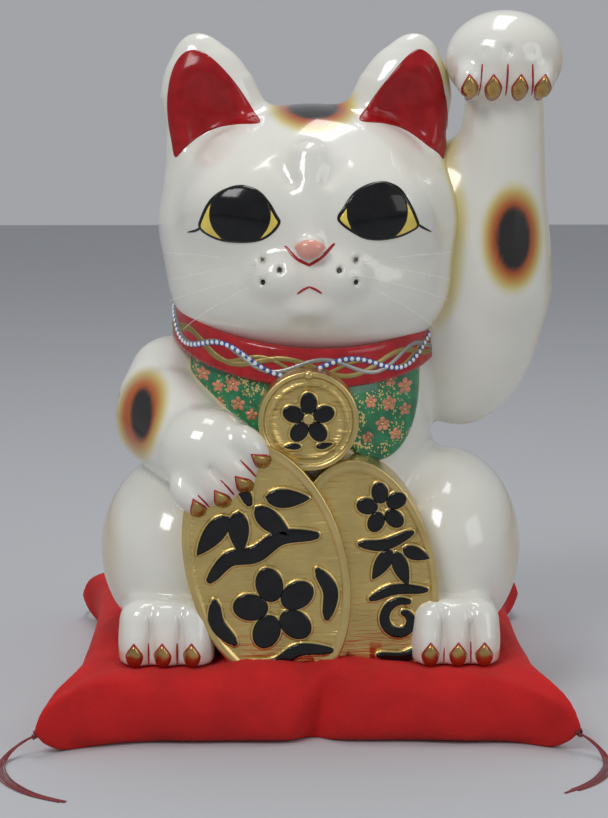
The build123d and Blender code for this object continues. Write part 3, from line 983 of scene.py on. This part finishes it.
# ---- face ----
on_face = onto(head_field)
EYES = {
    "right": [(-63.5, 298), (-62, 306.5), (-56.5, 316), (-48, 322), (-38, 324.3), (-28.5, 321.5), (-22, 315),
              (-17.5, 307.5), (-15.3, 302.5), (-20, 296), (-28, 291.5), (-40.5, 290.3), (-53, 291.8)],
    "left": [(18.2, 303.5), (21.5, 311.7), (28, 320.4), (37.7, 325.4), (46.4, 326.2), (55, 322.5),
        (60.6, 315),
             (65, 306.3), (66.8, 299.5), (60.7, 295.5), (53, 292.9), (42, 291.8), (31.3, 294)],
}
PUPILS = {"right": (-39.0, 306.8), "left": (41.4, 308.4)}
LASHES = {"right": [(-61.5, 300), (-65, 297), (-71, 295)], "left": [(64.5, 302), (68.5, 299), (75, 295.3)]}


def within(outline, rim, centre):
    """The outline drawn in to the rim where it passes it, measured from a centre."""
    out = []
    for p in outline:
        ray = p - centre
        reach = 1.0
        for a, b in zip(rim, np.roll(rim, -1, 0)):
            edge, corner = b - a, a - centre
            cross = ray[0] * edge[1] - ray[1] * edge[0]
            if abs(cross) < 1e-9:
                continue
            along = (corner[0] * edge[1] - corner[1] * edge[0]) / cross
            across = (corner[0] * ray[1] - corner[1] * ray[0]) / cross
            if along > 0 and 0 <= across <= 1:
                reach = min(reach, along)
        out.append(centre + ray * reach)
    return np.array(out)


def eye_part(name, outline, thickness, material, **options):
    """One layer of an eye's enamel."""
    patches(name, [outline], on_face, thickness, material, slot="eye_enamel", **options)


for name in ("right", "left"):
    rim = loop(EYES[name], 6)
    eye_part(f"{name}_eye_outline", rim, 0.5, BLACK, nodes=[f"{name}_eye_enamel"])
    iris = shrink(rim, 1.7) - (0, 0.4)
    eye_part(f"{name}_eye_iris", iris, 0.45, YELLOW, lift=0.4, edge=1.2)
    pupil = within(oval(*PUPILS[name], 18.2, 17.6, count=60), shrink(rim, 0.5), np.array(PUPILS[name]))
    eye_part(f"{name}_eye_pupil", pupil, 0.5, BLACK, lift=0.75, edge=2.5)
    eye_part(f"{name}_eye_lash", stroke(LASHES[name], 1.5, 0.25), 0.4, BLACK, edge=0.6, step=0.5)

NOSE = [(-7.2, 288.5), (-4.5, 292), (1.7, 293.6), (8, 292), (10.6, 288.5), (6.8, 283.8), (1.6, 282),
    (-3.5, 283.5)]
nose = [loop(NOSE, 5)]
patches("nose_enamel", nose, on_face, 1.6, PINK, slot="pink_enamel", nodes=["nose"], edge=3.5, step=0.9)
MOUTH_LINES = [
    stroke([(-12.4, 288.5), (-6, 282), (1.4, 278)], 2.0, 0.7),
    stroke([(1.4, 278), (9, 283), (16, 290)], 2.0, 0.7),
    stroke([(-5.5, 261.5), (-2, 264), (1.4, 265.6)], 1.5, 0.5),
    stroke([(1.4, 265.6), (5, 264), (8.6, 261.8)], 1.5, 0.5),
]
patches("mouth_lines", MOUTH_LINES, on_face, 0.35, RED, step=0.6, edge=0.5)

EAR_LININGS = {
    "right": [(-67.5, 403), (-60, 400.5), (-52, 394), (-43, 384), (-36, 374), (-31, 366), (-27.5, 359.5),
        (-41, 358.2),
              (-53, 356), (-64, 351), (-73, 344), (-79.5, 338), (-82, 348), (-84, 360), (-84.3, 373),
                  (-82.5, 385.5),
              (-79, 395), (-74, 401)],
    "left": [(69.5, 403.5), (76, 400.5), (81, 394), (84, 385.5), (85.5, 378), (87.5, 369), (88.5, 358),
        (87.8, 347),
             (85.5, 337), (81.5, 340.5), (75, 345), (62.5, 354), (49, 358.5), (33, 360.8), (38, 369),
                 (45, 379),
             (53.5, 389.5), (62, 399)],
}
for name in ("right", "left"):
    outline = loop(EAR_LININGS[name], 6)
    patches(f"{name}_ear_red", [outline], on_face, 0.5, EAR_RED, nodes=[f"{name}_ear_lining"], edge=1.0)

# ---- claws and toe lines ----
on_foot = onto(lambda p: np.minimum(foot_field(p, -1), foot_field(p, 1)))
on_raised_paw = onto(raised_arm_field)
on_resting_paw = onto(resting_arm_field)


def claw(x, z, half_width, half_height, turn=0.0, grow=0.0):
    """The outline of a claw, pointed at its root."""
    a = np.linspace(0, 2 * pi, 36, endpoint=False)
    u = half_width * np.cos(a) * (1 - 0.75 * np.maximum(np.sin(a), 0) ** 1.3)
    size = 1 + grow / half_width
    return turned(u * size, half_height * np.sin(a) * size, x, z, turn)


RAISED_CLAWS = [(x, SEAT + 339.5, 4.8, 7.4, turn) for x, turn in zip(PAW_CLAWS, (6, 2, -2, -6))]
RESTING_CLAWS = [(x, z, 4.5, 7.6, turn) for (x, z), turn in zip(REST_CLAWS, (52, 40, 32, 20))]
RIGHT_CLAWS = [(x, SEAT + 7.6, 4.8, 7.2) for x in (-102.5, -85.8, -68.5)]
LEFT_CLAWS = [(x, SEAT + 7.6, 4.8, 7.2) for x in (73.0, 89.5, 105.0)]
CLAWS = {
    "raised": (RAISED_CLAWS, on_raised_paw, 1.7, 4.6, "raised_paw_claws"),
    "resting": (RESTING_CLAWS, on_resting_paw, 1.7, 4.6, "resting_paw_claws"),
    "right_hind": (RIGHT_CLAWS, on_foot, 1.6, 4.2, "right_hind_paw_claws"),
    "left_hind": (LEFT_CLAWS, on_foot, 1.6, 4.2, "left_hind_paw_claws"),
}
for name, (shapes, place, thickness, edge, node) in CLAWS.items():
    plain, wider = ([claw(*shape, grow=grow) for shape in shapes] for grow in (0, 0.5))
    patches(f"{name}_claws", plain, place, thickness, CLAW_GOLD, slot="gold", nodes=[node], edge=edge,
            step=0.9)
    patches(f"{name}_claw_edges", wider, place, 0.35, RED, edge=0.5, step=0.8)
RESTING_TOES = [
    [(-39, 166), (-34, 160.5), (-30, 155)],
    [(-51, 155), (-46.5, 150), (-43, 145)],
    [(-64, 145.5), (-60, 141), (-57, 136)],
]
RAISED_TOES = [[(x, SEAT + 353), (x + lean, SEAT + 335)] for x, lean in ((105.5, -1), (120.5, 0), (135.5, 1))]
HIND_TOES = [[(x, SEAT + 14), (x, SEAT + 2.0)] for x in (-94.2, -77.2, 81.2, 97.4)]
TOE_LINES = {
    "raised": (on_raised_paw, RAISED_TOES),
    "resting": (on_resting_paw, RESTING_TOES),
    "hind": (on_foot, HIND_TOES),
}
for name, (place, lines) in TOE_LINES.items():
    patches(f"{name}_toe_lines", [stroke(p, 1.3, 0.6) for p in lines], place, 0.35, RED, step=0.6, edge=0.5)


# ---- collar ----
COLLAR_SPAN = 150
MM_PER_DEGREE = 1.45


def add_collar():
    """The plain red band."""
    points, quads = skin(collar_field, (-92, -98, NECK - 28), (92, 80, NECK + 24), 1.6)
    band = mesh_object("collar_enamel", points, quads, RED)
    finish_piece(band, "cat", "collar_enamel", "collar_band")


def on_collar(flat):
    """Lays a flat pattern on the collar's outside, in mm round from the front and up from its middle."""
    a = np.radians(flat[:, 0] / MM_PER_DEGREE)
    radial = COLLAR_RADIUS + 17.5
    x = np.sin(a) * radial * 1.03
    y = -np.cos(a) * radial - 8
    p = np.column_stack([x, y, collar_line(np.abs(a)) - 0.05 * x + flat[:, 1]])
    inward = np.column_stack([-np.sin(a), np.cos(a), np.zeros(len(a))])
    for _ in range(40):
        p = p + inward * (np.clip(collar_field(p), -5, 5) * 0.9)[:, None]
    return p, slope_of(collar_field, p, 0.4)


def wave(height, phase, length, width, middle=0.0):
    """A wavy band round the collar."""
    steps = np.arange(-COLLAR_SPAN, COLLAR_SPAN + 1, 6.0)
    return stroke([(x, middle + height * sin(2 * pi * x / length + phase)) for x in steps], width, 1, per=3)


add_collar()
BLUE_WAVE = {"height": 5.4, "phase": -0.5, "length": 78}
GOLD_WAVES = [wave(4.6, 2.6, 74, 3.4), wave(4.2, 4.4, 58, 2.4, -0.5)]
SILVER_WAVE = [wave(4.8, 0.6, 66, 2.8, 0.6)]
DOTS = [
    oval(x, 5.4 * sin(2 * pi * x / 78 - 0.5), 1.35, 1.35, count=12)
    for x in np.arange(-COLLAR_SPAN + 2, COLLAR_SPAN - 1, 3.9)
]
patches("collar_gold_waves", GOLD_WAVES, on_collar, 0.5, OLIVE, slot="gold", step=1.1, edge=0.9)
patches("collar_silver_wave", SILVER_WAVE, on_collar, 0.6, SILVER, slot="gold", step=1.1, edge=0.9)
blue = [wave(width=3.2, **BLUE_WAVE)]
patches("collar_blue_wave", blue, on_collar, 0.8, BLUE, slot="collar_enamel", step=1.1, edge=1.0)
patches("collar_white_dots", DOTS, on_collar, 0.9, WHITE, slot="collar_enamel", lift=0.7, step=0.6, edge=0.9)

# ---- bib ----
on_chest = onto(torso_field)
BIB_OUTLINE = [(-75, 224), (-74, 205), (-68, 185), (-57, 168), (-40, 160), (-22, 168), (0, 172), (20, 171),
    (29, 164),
               (41, 158.3), (54, 161.5), (63.5, 173), (68.5, 189), (70, 206), (70, 222), (40, 222),
                   (0, 222), (-40, 222)]
bib = [loop(BIB_OUTLINE, 5)]
patches("bib_enamel", bib, on_chest, 1.8, BIB, slot="bib_enamel", nodes=["bib"], step=1.8, edge=2.2)
SPRIGS = {
    "right": [(-61, 208, 4.4), (-52, 202, 3.6), (-43, 204, 4.6), (-40, 193, 4.2), (-32, 187, 3.8),
        (-51, 193, 3.0)],
    "left": [(50, 206, 4.2), (59, 201, 4.8), (38, 194, 3.8), (49, 192, 4.6), (59, 187, 4.0), (45, 180, 4.4),
             (36, 173, 3.6), (53, 173, 3.8)],
}


# ---- coins and medallion ----
DISC_SIDES = 160
GROUND = 1.8
DISCS = {
    "front_coin": dict(
        x=-24, z=SEAT + 59, width=47.5, height=78, turn=14.6, face=COIN_FACE, back=-62, rim=5.0
    ),
    "rear_coin": dict(
        x=35.5, z=SEAT + 52.5, width=41.5, height=71.5, turn=11, face=COIN_FACE + 6, back=-62, rim=4.5
    ),
    "medallion": dict(
        x=0.8, z=SEAT + 146.5, width=29.5, height=29.5, turn=0, face=MEDALLION_FACE, back=-80, rim=3.6,
        ring=(21.2, 22.6, 0.9)
    ),
}


def cut_at_seat(mesh):
    """Cuts a mesh off flat where the cushion begins."""
    cut = bmesh.ops.bisect_plane(
        mesh,
        geom=mesh.verts[:] + mesh.edges[:] + mesh.faces[:],
        plane_co=(0, 0, (SEAT + 0.05) * MM),
        plane_no=(0, 0, 1),
        clear_inner=True,
    )
    open_edges = [e for e in cut["geom_cut"] if isinstance(e, bmesh.types.BMEdge)]
    if open_edges:
        bmesh.ops.edgeloop_fill(mesh, edges=open_edges)


def disc(name, x, z, width, height, turn, face, back, rim, ring=None):
    """A plate with a raised rim. Width and height are halves, and ring is (inner, outer, rise)."""
    size = min(width, height)
    start = 1 - rim / size
    profile = [(0.3, 0.0), (0.55, 0.0), (0.75, 0.0)]
    profile += [(start - 0.012, 0.0), (start, 0.35), (start + 0.02, 1.3), (start + 0.05, GROUND)]
    profile += [(0.985, GROUND), (0.997, 1.3), (1.0, 0.6)]
    if ring:
        inner, outer, rise = ring
        for f, h in ((0, 0), (0.15, 0.6), (0.5, 1), (0.85, 0.6), (1, 0)):
            profile.append(((inner + (outer - inner) * f) / size, h * rise))
    profile.sort()
    a = np.linspace(0, 2 * pi, DISC_SIDES, endpoint=False)
    place = flat_face(x, z, face + GROUND, turn)
    rows = [place(np.zeros((1, 2)))[0]]
    for f, h in profile:
        p, normal = place(np.stack([f * width * np.cos(a), f * height * np.sin(a)], 1))
        rows.append(p + normal * h)
    for depth in np.linspace(face + 2.4, back, 6):
        p, _ = place(np.stack([width * np.cos(a), height * np.sin(a)], 1))
        p[:, 1] = depth
        rows.append(p)
    last = 1 + (len(rows) - 2) * DISC_SIDES
    ahead = [(i + 1) % DISC_SIDES for i in range(DISC_SIDES)]
    faces = [(0, 1 + ahead[i], 1 + i) for i in range(DISC_SIDES)]
    for low in range(1, last, DISC_SIDES):
        high = low + DISC_SIDES
        faces += [(low + i, low + ahead[i], high + ahead[i], high + i) for i in range(DISC_SIDES)]
    faces.append(tuple(last + i for i in range(DISC_SIDES)))
    item = mesh_object(f"{name}_gold", np.vstack(rows), faces, COIN_GOLD)
    item.data.materials.append(GOLD)
    rim_start = 1 + DISC_SIDES * next(i for i, (f, _) in enumerate(profile) if f >= start)
    for polygon in item.data.polygons:
        if min(polygon.vertices) >= rim_start:
            polygon.material_index = 1
    rework(item, cut_at_seat)
    finish_piece(item, "cat", "gold", name)


for name, shape in DISCS.items():
    disc(name, **shape)


def curl(x, y, size, start):
    """The middle line of a scroll of one turn."""
    turn = np.linspace(0, 2 * pi, 16)
    reach = size * (1 - 0.62 * turn / turn[-1])
    return [(x + r * cos(a + start), y + r * sin(a + start)) for r, a in zip(reach, turn)]


def leaf(x, y, angle, length, width):
    """A bamboo leaf: a long stroke, thick near its root."""
    a = radians(angle)
    along, across = np.array((cos(a), sin(a))), np.array((-sin(a), cos(a)))
    t = np.linspace(0, 1, 14)
    half = np.outer(width / 2 * np.sin(pi * t**0.75) ** 0.8, across)
    middle = np.array((x, y)) + np.outer(t * length, along) + np.outer(0.10 * length * t**2, across)
    return np.vstack([middle + half, (middle - half)[::-1][1:-1]])


def petals(x, y, size, turn=90.0, count=5):
    """The round petals of a plum blossom, apart from each other."""
    out = []
    for degrees in (turn + 360 * i / count for i in range(count)):
        a = radians(degrees)
        out.append(oval(x + size * 0.6 * cos(a), y + size * 0.6 * sin(a), size * 0.43, size * 0.335, degrees))
    return out


FRONT_MOTIF = (
    [stroke([(-34, 2), (-20, 11), (-4, 10), (13, 16), (33, 12)], 10.5, 0.5)]
    + [leaf(-13, 36, -150, 31, 13), leaf(-7, 38, -108, 27, 13), leaf(3, 38, -62, 29, 13),
        leaf(10, 42, -22, 27, 12)]
    + [stroke([(-4, 55), (-1, 47), (0, 41)], 7, 0.7)]
    + petals(-1, -25, 25)
    + [stroke([(-35, -12), (-37, -25), (-30, -39)], 9.5, 0.45), stroke([(29, -9), (33, -23),
        (27, -38)], 9.5, 0.45)]
    + [stroke([(-26, -54), (-10, -58), (6, -53), (24, -58)], 8.5, 0.5)]
)
REAR_MOTIF = (
    petals(17, 39, 15.5)
    + [stroke([(0, 20), (14, 17), (31, 21)], 7.5, 0.5)]
    + [leaf(18, 13, -140, 22, 10), leaf(20, 12, -88, 23, 10), leaf(24, 13, -38, 18, 9)]
    + [stroke([(0, -14), (15, -11), (33, -15)], 7.0, 0.5)]
    + [stroke(curl(15, -30, 12, 1.0), 6.8, 0.6, per=4)]
    + [stroke([(-2, -49), (12, -53), (26, -49)], 7.0, 0.5)]
)
MEDAL_MOTIF = petals(0, 1.5, 15.5) + [leaf(-4, -15, 175, 11, 4.2), leaf(4, -15, 5, 11, 4.2)]


def face_of(name):
    """A way to lay a flat pattern on a disc's ground."""
    disc = DISCS[name]
    return flat_face(disc["x"], disc["z"], disc["face"] + GROUND, disc["turn"])


for name, motif in (("front_coin", FRONT_MOTIF), ("rear_coin", REAR_MOTIF), ("medallion", MEDAL_MOTIF)):
    edges = [shrink(outline, -1.3) for outline in motif]
    patches(f"{name}_gold_edges", edges, face_of(name), 1.3, GOLD, slot="gold", step=1.0, edge=1.3)
    patches(f"{name}_black", motif, face_of(name), 1.3, BLACK, slot="black_relief", nodes=[f"{name}_emblem"],
            lift=0.9, step=1.0, edge=1.3)
hanger, heart = oval(0, 27.5, 3.4, 3.2, count=20), oval(0, 1.5, 3.6, 3.6, count=20)
patches("medallion_loop", [hanger], face_of("medallion"), 3.4, GOLD, slot="gold", edge=3.0, step=0.7)
for name, sprig in SPRIGS.items():
    flowers = [petal for flower in sprig for petal in petals(*flower)]
    patches(f"{name}_bib_flowers", flowers, on_chest, 0.5, SALMON, slot="bib_enamel", lift=1.7, step=0.8,
            edge=0.7)
    hearts = [oval(x, z, size * 0.24, size * 0.24, count=10) for x, z, size in sprig]
    patches(f"{name}_bib_flower_hearts", hearts, on_chest, 0.8, GOLD, slot="gold", lift=1.7, step=0.6,
            edge=0.8)
patches("medallion_blossom_heart", [heart], face_of("medallion"), 1.2, GOLD, slot="gold", lift=1.5, edge=1.6,
        step=0.7)

# ---- whiskers ----
WHISKER_RADIUS = 0.17
WHISKERS = [
    ((28.5, -86, 279), (56, -104, 284), (84, -100, 286)),
    ((27.5, -86, 278), (56, -106, 276), (82, -102, 270)),
    ((18.5, -92, 274.5), (52, -110, 268), (82, -102, 258)),
    ((28.5, -86, 267), (54, -104, 256), (74, -100, 241)),
]


def add_whiskers(name, side):
    """Clear filaments that bow away from the cheek."""
    filaments = []
    t = np.linspace(0, 1, 28)[:, None]
    for whisker in WHISKERS:
        root, middle, tip = (np.array((FACE_X + side * x, y, z), float) for x, y, z in whisker)
        control = 2 * middle - 0.5 * (root + tip)
        path = (1 - t) ** 2 * root + 2 * t * (1 - t) * control + t**2 * tip
        filaments.append(tube(path, WHISKER_RADIUS, 6))
    item = mesh_object(f"{name}_whisker_filaments", *merged(filaments), NYLON)
    finish_piece(item, "cat", "nylon", f"{name}_whiskers")


add_whiskers("right", -1)
add_whiskers("left", 1)

# ---- cushion ----
CUSHION_WAIST = 144.5
CUSHION_SEAM = 14.0
PUCKER = (8.0, -CUSHION_WAIST)
CLOTH_REACH = 3.5
RECESS_SWELL = 1.0


def cushion_start(shrunk):
    """A plump pillow with drawn-in sides: (points, faces) of its closed form."""
    count = 73
    even = np.sin(np.linspace(-pi / 2, pi / 2, count)) * 0.35 + np.linspace(-1, 1, count) * 0.65
    u, v = np.meshgrid(even, even, indexing="ij")
    pull = CUSHION_TIP - CUSHION_WAIST
    x = u * (CUSHION_TIP - shrunk - pull * (1 - v**4))
    y = v * (CUSHION_TIP - shrunk - pull * (1 - u**4))
    full = np.maximum((1 - np.abs(u) ** 10) * (1 - np.abs(v) ** 10), 0) ** 0.34
    flat = np.maximum((1 - np.abs(u) ** 22) * (1 - np.abs(v) ** 22), 0) ** 0.34
    top = CUSHION_SEAM + (SEAT - 1.0 - CUSHION_SEAM) * full
    low = CUSHION_SEAM - (CUSHION_SEAM - 0.4) * flat
    points, faces = [], []
    upper = np.stack([x, y, top], -1).reshape(-1, 3)
    lower = np.stack([x, y, low], -1).reshape(-1, 3)

    def at(i, j, layer):
        edge = i in (0, count - 1) or j in (0, count - 1)
        return i * count + j + (0 if layer == 0 or edge else count * count)

    for i in range(count - 1):
        for j in range(count - 1):
            faces.append((at(i, j, 0), at(i + 1, j, 0), at(i + 1, j + 1, 0), at(i, j + 1, 0)))
            faces.append((at(i, j, 1), at(i, j + 1, 1), at(i + 1, j + 1, 1), at(i + 1, j, 1)))
    return np.vstack([upper, lower]), faces


def fold(p):
    """Moves the cushion's points into a pucker in front, creases at the corners, and the cat's dent."""
    p = p.copy()
    reach = np.hypot(p[:, 0] - PUCKER[0], (p[:, 1] - PUCKER[1]) * 0.8)
    angle = np.arctan2(p[:, 1] - PUCKER[1] + 4, p[:, 0] - PUCKER[0])
    across = p[:, 0] - PUCKER[0] - 0.25 * (p[:, 2] - 20)
    drawn = np.exp(-(across**2) / 55) * ease(-CUSHION_WAIST + 26, -CUSHION_WAIST, p[:, 1])
    p[:, 1] += 19.0 * drawn
    front = ease(-CUSHION_WAIST + 22, -CUSHION_WAIST, p[:, 1])
    broad, fine = np.sin(p[:, 0] / 19 + 0.06 * p[:, 2]), np.sin(p[:, 0] / 8.3 + 0.11 * p[:, 2])
    p[:, 1] += front * (1.7 * broad + 1.0 * fine)
    lifted = ease(8, 30, p[:, 2])
    p[:, 2] -= 3.6 * lifted * (0.5 + 0.5 * np.cos(7 * angle)) ** 2 * ease(80, 8, reach)
    p[:, 2] -= 8.0 * lifted * np.exp(-((reach / 15) ** 2))
    for sx in (-1, 1):
        for sy in (-1, 1):
            dx, dy = CUSHION_TIP - sx * p[:, 0], CUSHION_TIP - sy * p[:, 1]
            near = ease(85, 12, np.hypot(dx, dy)) * ease(0, 16, np.hypot(dx, dy))
            p[:, 2] -= 3.6 * lifted * near * (0.5 + 0.5 * np.cos(11 * np.arctan2(dy, dx) + sx + 2 * sy))
    ripple = np.sin(p[:, 0] / 17 + 1.3 * np.sin(p[:, 1] / 23))
    ripple *= np.sin(p[:, 1] / 19 + 0.8 * np.sin(p[:, 0] / 29))
    p[:, 2] += 0.9 * ripple * lifted
    clear = body_field(np.column_stack([p[:, 0], p[:, 1], np.full(len(p), SEAT + 3.0)]))
    p[:, 2] += lifted * (2.0 * ease(5, 22, clear) - 0.6 * ease(4, -2, clear))
    return p


def inflate(item, cap):
    """Cloth under pressure pulls the form into soft folds: each point moves at most cap mm."""
    start = np.array([tuple(v.co) for v in item.data.vertices])
    cloth = item.modifiers.new("cloth", "CLOTH")
    cloth.settings.use_pressure = True
    cloth.settings.uniform_pressure_force = 4
    cloth.settings.quality = 4
    cloth.settings.effector_weights.gravity = 0
    cloth.settings.shrink_min = -0.035
    cloth.settings.tension_stiffness = 8
    cloth.settings.bending_stiffness = 0.3
    scene = bpy.context.scene
    for number in range(1, 21):
        scene.frame_set(number)
    shaped = item.evaluated_get(bpy.context.evaluated_depsgraph_get()).to_mesh()
    end = np.array([tuple(v.co) for v in shaped.vertices])
    move = end - start
    length = np.maximum(np.linalg.norm(move, axis=1), 1e-9)
    move *= np.minimum(1, cap * MM / length)[:, None]
    item.modifiers.remove(cloth)
    item.data.vertices.foreach_set("co", (start + move).ravel())
    scene.frame_set(1)


def drop_loose(mesh):
    """Deletes points that no face uses."""
    bmesh.ops.delete(mesh, geom=[v for v in mesh.verts if not v.link_faces], context="VERTS")


def add_cushion():
    """The stuffed cushion, crowned and dented where the cat sits."""
    points, faces = cushion_start(1.5)
    item = mesh_object("cushion_felt", points, faces, FELT)
    rework(item, drop_loose)
    inflate(item, CLOTH_REACH)
    p = np.array([tuple(v.co) for v in item.data.vertices]) / MM
    p = fold(p)
    p[:, 2] = np.maximum(p[:, 2], 0.3)
    under_cat = body_field(np.column_stack([p[:, 0], p[:, 1], np.full(len(p), SEAT + 1.5)])) < 4
    p[under_cat, 2] = np.minimum(p[under_cat, 2], SEAT - 0.4)
    in_recess = np.hypot(p[:, 0], p[:, 1] - RECESS_Y) < RECESS_RADIUS
    p[in_recess, 2] = np.minimum(p[in_recess, 2], SEAT + RECESS_SWELL)
    item.data.vertices.foreach_set("co", (p * MM).ravel())
    subdivision = item.modifiers.new("subdivision", "SUBSURF")
    subdivision.levels = subdivision.render_levels = 1
    finish_piece(item, "cushion", "red_felt", "cushion_cover", "cushion_filling")


add_cushion()

bpy.data.objects["vent_stopper"].data.materials.clear()
bpy.data.objects["vent_stopper"].data.materials.append(RUBBER)


# ---- floor and lights ----
def add_floor():
    """A plain pale floor that the render's edges never reach."""
    bpy.ops.mesh.primitive_plane_add(size=8, location=(0, 0, 0))
    floor = bpy.context.object
    floor.name = "floor"
    floor.data.materials.append(FLOOR)


def add_light(name, place, target, size, power, colour=(1, 1, 1)):
    """A soft area light that looks at a target, in metres."""
    data = bpy.data.lights.new(name, "AREA")
    data.shape = "RECTANGLE"
    data.size, data.size_y = size
    data.energy = power
    data.color = colour
    light = bpy.data.objects.new(name, data)
    light.location = place
    light.rotation_euler = (Vector(target) - Vector(place)).to_track_quat("-Z", "Y").to_euler()
    bpy.context.scene.collection.objects.link(light)


add_floor()
add_light("key", (-0.9, -1.3, 1.7), (0, 0, 0.2), (0.7, 0.7), 15)
add_light("fill", (1.5, -1.1, 0.9), (0, 0, 0.2), (1.0, 1.0), 5)
add_light("top", (0.1, 0.3, 2.0), (0, 0, 0.2), (0.5, 1.4), 11)
world = bpy.data.worlds.new("studio")
bpy.context.scene.world = world
world.use_nodes = True
world.node_tree.nodes["Background"].inputs["Color"].default_value = (0.86, 0.88, 0.92, 1)
world.node_tree.nodes["Background"].inputs["Strength"].default_value = 0.42
bpy.context.scene.view_settings.view_transform = "Standard"
